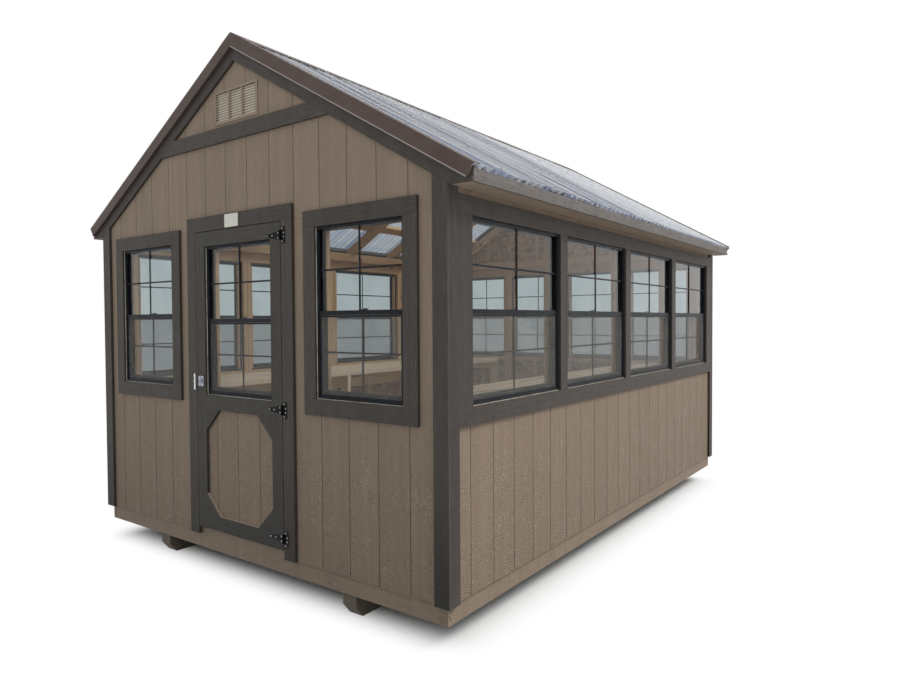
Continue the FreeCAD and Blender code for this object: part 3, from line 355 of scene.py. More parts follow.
def make_ground_dust():
    """Soil splashed up by rain: thickest at the ground, gone at its reach, in patches and runs."""
    mix, given, result = new_group("ground_dust", {"Reach": 0.6, "Amount": 0.5}, ("Dust", "Runs"))
    spot = mix.spot()
    share = mix.sum_of("DIVIDE", mix.axis(spot, "Z"), given["Reach"])
    patches = mix.ramp(mix.noise(spot, (9.0, 9.0, 6.0), 4.0), 0.3, 0.75)
    low = mix.times(mix.ramp(share, 1.0, 0.0), patches)
    mix.feed(mix.times(low, given["Amount"]), result["Dust"])
    mix.feed(mix.ramp(mix.noise(spot, (24.0, 24.0, 1.1), 3.0), 0.35, 0.75), result["Runs"])
    return mix.tree


timber_grain = make_timber_grain()
ground_dust = make_ground_dust()
SOIL = tint(158, 142, 120)


def bare_wood(name, early, late, knot, ring_width, wander, knots, dust):
    """Bare timber: pale early wood, darker late wood and knots, each board a little lighter or darker."""
    mix = Finish(name)
    board = mix.attribute("board", "Vector")
    grain = mix.group(
        timber_grain, {"Board": board, "Ring Width": ring_width, "Wander": wander, "Knots": knots}
    )
    soil = mix.group(ground_dust, {"Amount": dust})
    colour = mix.blend(mix.times(grain["Rings"], 0.8), early, late)
    colour = mix.blend(mix.ramp(grain["Fibres"], 0.3, 0.7, 0.0, 0.35), colour, late)
    colour = mix.blend(mix.times(grain["Knots"], 0.85), colour, knot)
    colour = mix.blend(mix.ramp(mix.attribute("tone"), 0.0, 1.0, 0.0, 0.3), colour, late)
    mix.give("Base Color", mix.blend(soil["Dust"], colour, SOIL))
    mix.give("Roughness", mix.ramp(grain["Fibres"], 0.2, 0.8, 0.62, 0.85))
    mix.bump(mix.plus(mix.times(grain["Rings"], 0.4), grain["Fibres"]), 0.0008, 0.5)
    return mix


skid_timber = bare_wood(
    "skid_timber", tint(98, 90, 80), tint(66, 59, 52), tint(46, 40, 34),
    ring_width=0.0045, wander=0.01, knots=0.12, dust=0.3,
)
fit_boards("skid_timbers", "skids", SKID_EASE, skid_timber, "skid_timber")

# Floor joists: lengths of two-by-six pine on edge across the skids, nailed between the rim boards.
# Only their undersides can be seen, and they are left as they came from the mill with eased edges.
LUMBER_EASE = 0.0025

pine = bare_wood(
    "pine", tint(224, 190, 148), tint(182, 139, 95), tint(110, 70, 43),
    ring_width=0.0052, wander=0.014, knots=0.14, dust=0.12,
)
fit_boards("joist_boards", "floor_joists", LUMBER_EASE, pine, "pine")

# Rim boards: two-by-six pine round the floor, brushed with the siding's paint on the face only.
# The ends of the two long boards show at the corners as bare end grain, and nails hold them to the joists.
FACING = 0.9
RIM_THICK = 0.045
NAIL_RADIUS = 0.0045
NAIL_PROUD = 0.0008
NAIL_SIDES = 12
NAIL_SPACING = 0.4064
NAIL_EDGE = 0.03
END_NAIL_MARGIN = 0.048
SIDE_NAIL_MARGIN = 0.015
NAIL_STAGGER = 0.005
CORNER_NAILS = (0.0, 0.3, 0.72, 1.0)
SIDING_COLOUR = tint(148, 131, 116)
SIDING_SHADE = tint(122, 107, 94)
SIDING_LIGHT = tint(190, 170, 151)


def make_edge_wear_and_highlight():
    """A finish paler along the eased edges of a piece: worn thin on some, a painted highlight on others."""
    mix, given, result = new_group("edge_wear_and_highlight", {"Amount": 0.4}, ("Wear And Highlight",))
    mix.feed(mix.times(mix.attribute("edge"), given["Amount"]), result["Wear And Highlight"])
    return mix.tree


edge_wear_and_highlight = make_edge_wear_and_highlight()


def painted_board(name, colour, shade, light, roughness, dust):
    """Paint on sawn timber: the grain reads through the film, which is rubbed lighter along the edges."""
    mix = Finish(name)
    board = mix.attribute("board", "Vector")
    grain = mix.group(timber_grain, {"Board": board, "Ring Width": 0.006, "Wander": 0.02, "Knots": 0.1})
    soil = mix.group(ground_dust, {"Amount": dust})
    edge_paleness = mix.ramp(grain["Fibres"], 0.45, 0.65, 0.1, 0.5)
    film = mix.blend(mix.ramp(grain["Fibres"], 0.35, 0.7, 0.0, 0.4), colour, shade)
    film = mix.blend(mix.ramp(grain["Streaks"], 0.46, 0.28, 0.0, 0.55), film, shade)
    film = mix.blend(mix.ramp(grain["Streaks"], 0.54, 0.74, 0.0, 0.45), film, light)
    film = mix.blend(mix.ramp(mix.attribute("tone"), 0.0, 1.0, 0.0, 0.35), film, shade)
    film = mix.blend(mix.times(soil["Runs"], 0.14), film, light)
    film = mix.blend(mix.group(edge_wear_and_highlight, {"Amount": edge_paleness})["Wear And Highlight"], film, light)
    mix.give("Base Color", mix.blend(soil["Dust"], film, SOIL))
    mix.give("Roughness", mix.ramp(grain["Fibres"], 0.2, 0.8, roughness - 0.08, roughness + 0.14))
    mix.give("Specular IOR Level", 0.2)
    relief = mix.plus(mix.times(grain["Rings"], 0.5), grain["Fibres"])
    mix.bump(mix.plus(relief, mix.times(grain["Streaks"], 2.0)), 0.0011, 0.55)
    return mix


def refinish(piece, finish, chosen):
    """Gives a second finish to those faces of a piece that are chosen."""
    piece.data.materials.append(finish.material)
    for polygon in piece.data.polygons:
        if chosen(polygon):
            polygon.material_index = 1


rim_paint = painted_board(
    "rim_paint", SIDING_COLOUR, SIDING_SHADE, SIDING_LIGHT, roughness=0.55, dust=0.3
)
bare_end = bare_wood(
    "bare_end", tint(146, 129, 111), tint(108, 92, 76), tint(84, 66, 50),
    ring_width=0.0045, wander=0.004, knots=0.0, dust=0.1,
)
rim_boards = fit_boards("rim_boards", "floor_rim", LUMBER_EASE, rim_paint, "siding_paint")
rim_low, rim_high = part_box("floor_rim")
refinish(
    rim_boards, bare_end,
    lambda p: abs(p.normal.y) > FACING and abs(p.center.x) > rim_high.x - RIM_THICK,
)


def loft(mesh, rings, caps=True):
    """Joins rings of points with faces and caps the first and the last. A ring may be one point."""
    count = max(map(len, rings))
    skin = []
    for low, high in zip(rings, rings[1:]):
        for i in range(count):
            j = i + 1
            corners = [low[i % len(low)], low[j % len(low)], high[j % len(high)], high[i % len(high)]]
            skin.append(mesh.faces.new(list(dict.fromkeys(corners))))
    if caps:
        mesh.faces.new(rings[0][::-1])
        mesh.faces.new(rings[-1])
    return skin


def turned(mesh, profile, where, sides=16, hollow=False):
    """Adds a turned solid: its profile is points of (radius, height) about the Z axis of a place.

    The profile of a hollow one runs round its wall and back to the start.
    """
    rings = []
    for radius, height in profile:
        turns = [2 * math.pi * i / sides for i in range(sides if radius else 1)]
        spots = [Vector((radius * math.cos(a), radius * math.sin(a), height)) for a in turns]
        rings.append([mesh.verts.new(where @ spot) for spot in spots])
    if hollow:
        rings.append(rings[0])
    loft(mesh, rings, caps=False)


def facing(point, out):
    """A place at a point whose Z axis looks out along a direction."""
    return Matrix.Translation(point) @ Vector(out).to_track_quat("Z", "Y").to_matrix().to_4x4()


def spread(low, high, margin, count):
    """Even steps from a margin at one end to the same margin at the other."""
    return [low + margin + (high - low - 2 * margin) * i / count for i in range(count + 1)]


def nail_rows():
    """Places of the nails: one at each joist, high and low in turn, and four at a long board's ends."""
    places = []
    levels = (rim_low.z + NAIL_EDGE, rim_high.z - 2 * NAIL_EDGE)
    count = round((rim_high.x - rim_low.x) / NAIL_SPACING)
    for i, x in enumerate(spread(rim_low.x, rim_high.x, END_NAIL_MARGIN, count)):
        for y, out in ((rim_low.y, -1), (rim_high.y, 1)):
            places.append(((x, y, levels[i % 2]), (0, out, 0)))
    count = round((rim_high.y - rim_low.y) / NAIL_SPACING)
    for i, y in enumerate(spread(rim_low.y, rim_high.y, SIDE_NAIL_MARGIN, count)):
        rows = [levels[i % 2]]
        if i in (0, count):
            rows = [levels[0] + (levels[1] - levels[0]) * share for share in CORNER_NAILS]
        for x, out in ((rim_low.x, -1), (rim_high.x, 1)):
            for j, level in enumerate(rows):
                places.append(((x, y + (-1) ** j * NAIL_STAGGER, level), (out, 0, 0)))
    return places


def mottled(name, stretch, detail, patch, first, second, gloss, relief=None):
    """A finish of two colours in fine patches, which also change its gloss and may stand in relief."""
    mix = Finish(name)
    patches = mix.noise(mix.spot(), stretch, detail)
    mix.give("Base Color", mix.blend(mix.ramp(patches, *patch), first, second))
    mix.give("Roughness", mix.ramp(patches, *gloss))
    if relief:
        mix.bump(patches, *relief)
    return mix


nail_steel = mottled(
    "nail_steel", 300, 3.0, (0.4, 0.6), tint(92, 74, 60), tint(58, 44, 36), gloss=(0.3, 0.7, 0.4, 0.7)
)
nail_steel.give("Metallic", 0.6)
nail_mesh = bmesh.new()
nail_profile = [
    (0, -NAIL_PROUD), (NAIL_RADIUS, -NAIL_PROUD), (NAIL_RADIUS, NAIL_PROUD / 2),
    (0.7 * NAIL_RADIUS, NAIL_PROUD), (0, NAIL_PROUD),
]
for point, out in nail_rows():
    turned(nail_mesh, nail_profile, facing(Vector(point), out), NAIL_SIDES)
fit(new_piece("rim_nails", nail_mesh), nail_steel, "steel", "building")

# Floor deck: sheets of plywood nailed over the joists, butted edge to edge.
# The face veneer is peeled from the log, so its figure is broad and wild, and foot traffic has dulled it.
DECK_EASE = 0.0012

plywood = bare_wood(
    "plywood", tint(205, 172, 128), tint(170, 132, 90), tint(120, 82, 54),
    ring_width=0.011, wander=0.06, knots=0.06, dust=0.35,
)
fit_boards("deck_sheets", "floor_deck", DECK_EASE, plywood, "plywood")

# Wall framing: two-by-four pine plates, studs, headers, sills and cripple studs, nailed together flat.
# It is open to the inside and shows through every window, so each stick has its own grain and knots.
fit_boards("side_studs", "side_wall_frames", LUMBER_EASE, pine, "pine")
fit_boards("end_studs", "end_wall_frames", LUMBER_EASE, pine, "pine")

# Siding: sheets of treated strand board with a wood grain pressed into the face, and upright grooves cut
# eight inches apart to look like boards. They are nailed to the studs and sprayed with satin paint.
GROOVE_WIDTH = 0.0045
GROOVE_DEPTH = 0.0018
GROOVE_DUST_AND_SHADE = tint(62, 54, 46)
LEAST_STEP = 0.0005
LINE_DIGITS = 4
RIPPLES_PER_METRE = 45.0
SHEET_EASE = 0.0009
SHEET_PITH_ASIDE = 0.07
SHEET_PITH_DEPTH = (0.03, 0.1)
BACK_DISTANCE = 1.4
UP = Vector((0, 0, 1))
TO_FRONT = Vector((0, -1, 0))
TO_BACK = Vector((0, 1, 0))


def sheet_outline(triangles, out):
    """The outline and the groove lines of a siding sheet: (u, height) points, with u along the wall."""
    along = UP.cross(out)
    shape = whole_faces([triangles])
    back = max((f for f in shape.faces if f.normal.dot(out) < -FACING), key=lambda f: f.calc_area())
    outline = [(v.co.dot(along), v.co.z) for v in back.verts]
    rear = back.verts[0].co.dot(out)
    fronts = [f for f in shape.faces if f.normal.dot(out) > FACING]
    face = max(f.verts[0].co.dot(out) for f in fronts)
    cut = [f for f in fronts if f.verts[0].co.dot(out) < face - LEAST_STEP]
    lines = sorted({round(f.calc_center_median().dot(along), LINE_DIGITS) for f in cut})
    shape.free()
    return outline, lines, rear, face


def scored_flat(outline, lines):
    """A flat sheet cut to an outline and scored along both edges of each groove."""
    flat = bmesh.new()
    flat.faces.new([flat.verts.new((u, w, 0)) for u, w in outline])
    for line in lines:
        for cut in (line - GROOVE_WIDTH / 2, line + GROOVE_WIDTH / 2):
            everything = flat.verts[:] + flat.edges[:] + flat.faces[:]
            bmesh.ops.bisect_plane(flat, geom=everything, plane_co=(cut, 0, 0), plane_no=(1, 0, 0))
    return flat


def raise_boards(mesh, boards, lift):
    """Raises the boards between a sheet's grooves, and gives back the points that they then have."""
    raised = bmesh.ops.extrude_face_region(mesh, geom=boards)["geom"]
    bmesh.ops.translate(mesh, verts=[v for v in raised if isinstance(v, bmesh.types.BMVert)], vec=lift)
    left = [f for f in boards if f.is_valid]
    if left:
        bmesh.ops.delete(mesh, geom=left, context="FACES_ONLY")
    faces = {f for f in raised if isinstance(f, bmesh.types.BMFace)}
    rims = [e for f in faces for e in f.edges if not all(g in faces for g in e.link_faces)]
    eased_faces = round_over(mesh, list(dict.fromkeys(rims)), SHEET_EASE, 1)
    points = {v for f in eased_faces for v in f.verts}
    return points | {v for f in faces if f.is_valid for v in f.verts}


def mark_sheet(mesh, points, outline, lines, place, thick, draw):
    """Gives the points of a sheet their grain and tone by board, and marks those down in a groove."""
    pith = [draw_pith(draw, SHEET_PITH_ASIDE, SHEET_PITH_DEPTH) for _ in range(len(lines) + 1)]
    tones = [draw.random() for _ in pith]
    origin = place(0, 0, 0)
    u_way = place(1, 0, 0) - origin
    w_way = place(0, 1, 0) - origin
    out = place(0, 0, 1) - origin
    ends = [min(u for u, w in outline)] + lines + [max(u for u, w in outline)]
    for vert in points:
        if not vert.is_valid:
            continue
        away = vert.co - origin
        u = away.dot(u_way)
        board = sum(line < u for line in lines)
        middle = (ends[board] + ends[board + 1]) / 2
        sunk = any(abs(u - line) < (GROOVE_WIDTH + SHEET_EASE) / 2 for line in lines)
        deep = away.dot(out) < thick - GROOVE_DEPTH / 2
        spot = Vector((away.dot(w_way), u - middle, 0))
        vert[mesh.verts.layers.float_vector["board"]] = pith[board] + spot
        vert[mesh.verts.layers.float["tone"]] = tones[board]
        vert[mesh.verts.layers.float["groove"]] = float(sunk and deep)


def grooved_sheet(mesh, outline, lines, place, thick, draw):
    """Adds a sheet cut to an outline of (u, w) points and grooved along w; place gives its points."""
    flat = scored_flat(outline, lines)
    back = {v: mesh.verts.new(place(v.co.x, v.co.y, 0)) for v in flat.verts}
    front = {v: mesh.verts.new(place(v.co.x, v.co.y, thick - GROOVE_DEPTH)) for v in flat.verts}
    boards = []
    for face in flat.faces:
        mesh.faces.new([back[v] for v in reversed(face.verts)])
        made = mesh.faces.new([front[v] for v in face.verts])
        if all(abs(face.calc_center_median().x - line) > GROOVE_WIDTH / 2 for line in lines):
            boards.append(made)
    for edge in flat.edges:
        if edge.is_boundary:
            loop = edge.link_loops[0]
            a, b = loop.vert, loop.link_loop_next.vert
            mesh.faces.new([back[a], back[b], front[b], front[a]])
    lift = place(0, 0, GROOVE_DEPTH) - place(0, 0, 0)
    points = set(back.values()) | set(front.values()) | raise_boards(mesh, boards, lift)
    mark_sheet(mesh, points, outline, lines, place, thick, draw)
    flat.free()


def new_sheets():
    """An empty mesh with what grooved sheets carry: grain, tone and how deep in a groove a point is."""
    mesh = bmesh.new()
    mesh.verts.layers.float_vector.new("board")
    mesh.verts.layers.float.new("tone")
    mesh.verts.layers.float.new("groove")
    return mesh


def grooved_sheets(name, node, out_of):
    """The sheets of a siding node; out_of gives the outward direction from a sheet's corner."""
    mesh = new_sheets()
    draw = random.Random(name)
    for triangles in solids_of(node):
        out = Vector(out_of(triangles[0][0]))
        along = UP.cross(out)
        outline, lines, rear, face = sheet_outline(triangles, out)

        def place(u, w, d):
            return along * u + UP * w + out * (rear + d)

        grooved_sheet(mesh, outline, lines, place, face - rear, draw)
    return new_piece(name, mesh, smooth=False)


def make_siding_paint(name, colour, shade, light, groove):
    """Satin paint over pressed grain: ripples in patches, faint figure, dark grooves and soil low down,
    with painted highlights on the ripples' crests and painted shade in their hollows.
    """
    mix = Finish(name)
    board = mix.attribute("board", "Vector")
    grain = mix.group(timber_grain, {"Board": board, "Ring Width": 0.012, "Wander": 0.055, "Knots": 0.05})
    soil = mix.group(ground_dust, {"Amount": 0.15, "Reach": 0.7})
    swing = mix.times(mix.noise(board, (12.0, 26.0, 1.0)), 7.0)
    swing = mix.plus(swing, mix.times(mix.noise(board, (55.0, 80.0, 1.0)), 2.2))
    waves = mix.plus(mix.times(mix.axis(board, "X"), RIPPLES_PER_METRE), swing)
    patches = mix.ramp(mix.noise(board, (5.0, 12.0, 1.0)), 0.3, 0.6)
    patches = mix.times(patches, mix.ramp(mix.axis(mix.spot(), "Z"), 1.25, 0.65, 0.35, 1.0))
    ripple = mix.times(mix.ramp(mix.sum_of("PINGPONG", waves, 0.5), 0.1, 0.5), patches)
    figure = mix.ramp(grain["Rings"], 0.25, 0.9)
    relief = mix.plus(mix.times(figure, 0.25), ripple)
    relief = mix.plus(relief, mix.times(grain["Fibres"], 0.6))
    # Painted shade where the relief is low and a painted highlight where it is high, both strongest low on
    # the wall where the ripples are.
    film = mix.blend(mix.ramp(relief, 0.9, 0.2, 0.0, 0.4), colour, shade)
    film = mix.blend(mix.ramp(relief, 0.85, 1.5, 0.0, 0.38), film, light)
    film = mix.blend(mix.ramp(mix.attribute("tone"), 0.0, 1.0, 0.0, 0.12), film, shade)
    film = mix.blend(mix.times(soil["Runs"], 0.1), film, light)
    # The groove bottoms are painted darker: dust that gathers there, and painted shade.
    film = mix.blend(mix.times(mix.attribute("groove"), groove), film, GROOVE_DUST_AND_SHADE)
    mix.give("Base Color", mix.blend(soil["Dust"], film, SOIL))
    mix.give("Roughness", mix.ramp(relief, 0.2, 1.5, 0.62, 0.3))
    mix.give("Specular IOR Level", 0.1)
    mix.bump(relief, 0.0026)
    return mix


def make_strand_board():
    """Bare pressed strands: flat flakes that lie two ways, each lighter or darker than the next."""
    mix = Finish("strand_board")
    spot = mix.spot()
    bend = mix.add("TexNoise", {"Vector": spot, "Scale": 3.0}).outputs["Color"]
    spot = mix.vector("MULTIPLY_ADD", bend, (0.12, 0.12, 0.12), spot)
    upright = mix.cells(spot, (14.0, 14.0, 46.0))[0]
    level = mix.cells(spot, (40.0, 40.0, 15.0))[0]
    flake = mix.plus(mix.times(upright, 0.6), mix.times(level, 0.4))
    wood = mix.blend(mix.ramp(flake, 0.15, 0.6), tint(138, 100, 66), tint(190, 150, 106))
    mix.give("Base Color", mix.blend(mix.ramp(flake, 0.6, 0.9, 0.0, 0.7), wood, tint(214, 182, 138)))
    mix.give("Roughness", mix.ramp(flake, 0.1, 0.9, 0.62, 0.85))
    mix.bump(flake, 0.0012, 0.5)
    return mix


siding_paint = make_siding_paint("siding_paint", SIDING_COLOUR, SIDING_SHADE, SIDING_LIGHT, groove=0.3)
strand_board = make_strand_board()


def bare_back(piece):
    """Leaves the backs of sheets unpainted: they are the faces that look to the middle of the building."""
    refinish(
        piece, strand_board,
        lambda p: -p.normal.xy.dot(p.center.xy) > BACK_DISTANCE and abs(p.normal.z) < FLAT_ANGLE,
    )


for piece_name, node, out_of in (
    ("side_siding_sheets", "side_siding", lambda p: (1 if p[0] > 0 else -1, 0, 0)),
    ("front_siding_sheets", "front_siding", lambda p: TO_FRONT),
    ("back_siding_sheets", "back_siding", lambda p: TO_BACK),
):
    bare_back(fit(grooved_sheets(piece_name, node, out_of), siding_paint, "siding_paint", "building", node))

# Trim: one-by-four boards over the siding at the corners, round the windows and the doorway, and up the
# gables. They are rough on the face, cut square, butted and nailed, and painted a darker brown.
TRIM_EASE = 0.0018
TRIM_COLOUR = tint(74, 68, 64)
TRIM_SHADE = tint(52, 48, 45)
TRIM_LIGHT = tint(102, 94, 89)
TRIM_PAINTED_SHADE = tint(46, 44, 41)
SHADE_TOP = 0.95
SHADE_FOOT = 0.15


def make_painted_foot_shade():
    """Painted shade at the foot of the boards that face the front, darker towards the ground."""
    mix, _, result = new_group("painted_foot_shade", {}, ("Painted Shade",))
    coordinates = mix.add("TexCoord").outputs
    low = mix.ramp(mix.axis(coordinates["Object"], "Z"), SHADE_TOP, SHADE_FOOT)
    ahead = mix.ramp(mix.axis(coordinates["Normal"], "Y"), -0.3, -0.8)
    mix.feed(mix.times(low, ahead), result["Painted Shade"])
    return mix.tree


painted_foot_shade = make_painted_foot_shade()
trim_paint = painted_board("trim_paint", TRIM_COLOUR, TRIM_SHADE, TRIM_LIGHT, roughness=0.5, dust=0.05)
# Painted shade: the front-facing trim darkens towards the ground.
trim_paint.cover(trim_paint.group(painted_foot_shade)["Painted Shade"], TRIM_PAINTED_SHADE)
for piece_name, node in (
    ("corner_trim", "corner_boards"),
    ("window_surrounds", "window_trim"),
    ("door_casing_boards", "door_casing"),
    ("gable_boards", "gable_trim"),
):
    fit_boards(piece_name, node, TRIM_EASE, trim_paint, "trim_paint")

# Blank plate: a small cream plate of moulded plastic on the head of the door casing, left bare.
# It has rounded corners, a low raised border and a small nail at each end.
PLATE_CORNER = 0.006
PLATE_BORDER = 0.005
PLATE_SUNK = 0.0007
PLATE_NAIL = 0.0022


def rounded(corners, radius, steps=5):
    """An outline with its corners rounded to arcs, for a shape that bulges out everywhere."""
    points = []
    count = len(corners)
    for i in range(count):
        here = Vector(corners[i])
        to_last = (Vector(corners[i - 1]) - here).normalized()
        to_next = (Vector(corners[(i + 1) % count]) - here).normalized()
        half = to_last.angle(to_next) / 2
        centre = here + (to_last + to_next).normalized() * (radius / math.sin(half))
        start = (here + to_last * (radius / math.tan(half)) - centre).normalized()
        end = (here + to_next * (radius / math.tan(half)) - centre).normalized()
        for j in range(steps + 1):
            points.append(tuple(centre + radius * start.slerp(end, j / steps)))
    return points


def box_outline(left, right, low, high):
    return [(left, low), (right, low), (right, high), (left, high)]


def slab(mesh, levels, place):
    """Adds a solid from outlines of as many points each, one at each depth from back to front."""
    loft(mesh, [[mesh.verts.new(place(u, w, depth)) for u, w in outline] for outline, depth in levels])


plate_low, plate_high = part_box("name_plate")
plate_thick = plate_high.y - plate_low.y


def plate_outline(inset):
    sides = (plate_low.x + inset, plate_high.x - inset, plate_low.z + inset, plate_high.z - inset)
    return rounded(box_outline(*sides), PLATE_CORNER - inset / 2)


plate_levels = [
    (plate_outline(0), 0),
    (plate_outline(0), plate_thick - PLATE_SUNK),
    (plate_outline(PLATE_SUNK), plate_thick),
    (plate_outline(PLATE_BORDER - PLATE_SUNK), plate_thick),
    (plate_outline(PLATE_BORDER), plate_thick - PLATE_SUNK),
]
plate_mesh = bmesh.new()
slab(plate_mesh, plate_levels, lambda u, w, d: Vector((u, plate_high.y - d, w)))
cream = mix = Finish("cream_plate")
spot = mix.spot()
film = mix.ramp(mix.noise(spot, (60.0, 60.0, 18.0), 4.0), 0.3, 0.8, 0.0, 0.3)
mix.give("Base Color", mix.blend(film, tint(214, 212, 202), tint(188, 183, 170)))
mix.give("Roughness", mix.ramp(mix.noise(spot, 220), 0.3, 0.7, 0.28, 0.45))
fit(new_piece("blank_plate", plate_mesh), cream, "cream_plate", "building", "name_plate")

plate_nails = bmesh.new()
plate_nail = [(0, 0), (PLATE_NAIL, 0), (0.8 * PLATE_NAIL, 0.4 * PLATE_NAIL), (0, 0.55 * PLATE_NAIL)]
for x in spread(plate_low.x, plate_high.x, 3 * PLATE_BORDER, 1):
    point = Vector((x, plate_low.y + PLATE_SUNK, (plate_low.z + plate_high.z) / 2))
    turned(plate_nails, plate_nail, facing(point, TO_FRONT), NAIL_SIDES)
fit(new_piece("plate_nails", plate_nails), nail_steel, "steel", "building")

# Roof framing: two-by-four rafters and collar ties in eight trusses, plywood gussets at their peaks, and
# five rows of purlins laid flat over each slope. It is bare inside and takes the trim's colour outside the
# walls, partly as trim paint and partly as painted shade in the gap under the rake flashing.
OUTSIDE_FADE = 0.01

siding_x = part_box("side_siding")[1].x
siding_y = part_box("back_siding")[1].y
roof_pine = mix = bare_wood(
    "roof_pine", tint(226, 193, 150), tint(186, 143, 98), tint(112, 72, 44),
    ring_width=0.0052, wander=0.014, knots=0.14, dust=0.0,
)
# Beyond the siding the pine takes the trim's colour; on the purlin ends seen under the rake flashing this
# is painted shade.
away = mix.vector("ABSOLUTE", mix.spot())
past_side = mix.ramp(mix.axis(away, "X"), siding_x - OUTSIDE_FADE, siding_x)
past_end = mix.ramp(mix.axis(away, "Y"), siding_y, siding_y + OUTSIDE_FADE)
mix.cover(mix.most(past_side, past_end), TRIM_COLOUR)
for piece_name, node, finish, slot in (
    ("rafter_boards", "rafters", roof_pine, "pine"),
    ("tie_boards", "collar_ties", pine, "pine"),
    ("gusset_plates", "ridge_gussets", plywood, "plywood"),
    ("purlin_boards", "roof_purlins", roof_pine, "pine"),
):
    fit_boards(piece_name, node, LUMBER_EASE, finish, slot)

# Eaves: a rough-sawn fascia board nailed to the rafter tails, and a strip of grooved siding as a soffit.
# The fascia takes the trim's paint, greyed by the drip from the roof. The soffit takes a lighter copy of
# the siding's paint as painted light under the eave, and its grooves are painted fully dark as painted
# shade.
FASCIA_EASE = 0.003


def box_of(solids):
    corners = [corner for triangles in solids for triangle in triangles for corner in triangle]
    return Vector(map(min, zip(*corners))), Vector(map(max, zip(*corners)))


fascia_paint = painted_board(
    "fascia_paint", tint(116, 111, 108), tint(78, 73, 70), tint(156, 150, 145), roughness=0.6, dust=0.0
)
fit_boards("fascia_boards", "eave_fascia", FASCIA_EASE, fascia_paint, "trim_paint")

# Painted light: the soffit's colours are a lighter copy of the siding's, and its grooves are painted fully
# dark as painted shade.
soffit_lit_paint = make_siding_paint(
    "soffit_lit_paint", tint(184, 163, 144), tint(156, 137, 119), tint(208, 188, 168), groove=1.0
)
side_lines = []
for triangles in solids_of("side_siding"):
    if triangles[0][0][0] > 0:
        side_lines += sheet_outline(triangles, Vector((1, 0, 0)))[1]
soffit_mesh = new_sheets()
soffit_draw = random.Random("soffit_sheets")
for triangles in solids_of("eave_soffits"):
    low, high = box_of([triangles])

    def under_eave(u, w, d):
        return Vector((w, u, high.z - d))

    outline = box_outline(low.y, high.y, low.x, high.x)[::-1]
    lines = [y for y in side_lines if low.y + GROOVE_WIDTH < y < high.y - GROOVE_WIDTH]
    grooved_sheet(soffit_mesh, outline, lines, under_eave, high.z - low.z, soffit_draw)
soffit_sheets = new_piece("soffit_sheets", soffit_mesh, smooth=False)
fit(soffit_sheets, soffit_lit_paint, "siding_paint", "building", "eave_soffits")

# Roof sheets: clear corrugated polycarbonate, seven sheets to a slope, each lapped one wave over the next.
# They are moulded glossy and a little blue, and rain leaves a film of dust in bands and runs. Dark lines
# along the flanks of the waves are dust and painted shade, and all of it fades towards the back.
WAVES_PER_SLOPE = 63

purlin_top = max(frame["nodes"]["roof_purlins"].data.polygons, key=lambda p: (p.normal.x > 0) * p.normal.z)
SLOPE_OUT = purlin_top.normal.copy()
SLOPE_DOWN = Vector((SLOPE_OUT.z, 0, -SLOPE_OUT.x))
roof_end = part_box("roof_purlins")[1].y
wave = 2 * roof_end / WAVES_PER_SLOPE


def let_lamps_through(mix):
    """Mixes in a clear shader for rays from lamps, so that they light what is behind the surface."""
    lamps = mix.add("LightPath").outputs["Is Shadow Ray"]
    clear = mix.add("BsdfTransparent", {"Color": tint(248, 251, 253)}).outputs[0]
    shader = mix.surface.links[0].from_socket
    mix.feed(mix.add("MixShader", {0: lamps, 1: shader, 2: clear}).outputs[0], mix.surface)


def make_clear_roofing():
    """Clear glossy sheet with dust in bands and runs down the slope, and dust with painted shade in lines
    along the flanks of the waves, all fading towards the back.
    """
    mix = Finish("clear_roofing")
    spot = mix.attribute("slope", "Vector")
    from_front = mix.axis(spot, "Y")
    # Dust and painted shade: dark lines along the flanks just below each crest.
    flank = mix.sum_of("SINE", mix.times(from_front, 2 * math.pi / wave))
    lines = mix.times(mix.ramp(flank, 0.8, 0.7), mix.ramp(flank, 0.3, 0.5, 0.0, 0.85))
    lines = mix.times(lines, mix.ramp(mix.noise(spot, (0.3, 9.0, 1.0)), 0.42, 0.52, 0.15))
    bands = mix.ramp(mix.noise(spot, (0.2, 13.0, 1.0)), 0.5, 0.58, 0.0, 0.9)
    runs = mix.ramp(mix.noise(spot, (0.4, 28.0, 1.0)), 0.58, 0.66, 0.0, 0.7)
    back_fade = mix.ramp(from_front, 1.2, 3.2, 1.0, 0.15)
    film = mix.times(mix.most(lines, mix.most(bands, runs)), back_fade)
    dust_and_shade_lines = mix.times(mix.most(runs, mix.times(lines, 0.8)), back_fade)
    sheet = mix.blend(film, tint(230, 237, 250), tint(150, 166, 200))
    sheet = mix.blend(dust_and_shade_lines, sheet, tint(48, 60, 92))
    mix.give("Base Color", mix.blend(mix.attribute("end"), sheet, tint(70, 79, 94)))
    mix.give("Roughness", mix.ramp(film, 0.3, 0.85, 0.04, 0.6))
    mix.give("Coat Weight", mix.ramp(film, 0.0, 0.6, 0.95, 0.0))
    mix.give("Coat IOR", 2.1)
    mix.give("Specular Tint", (0.9, 0.95, 1.0, 1.0))
    mix.give("IOR", 1.5)
    mix.give("Transmission Weight", 1.0)
    let_lamps_through(mix)
    return mix


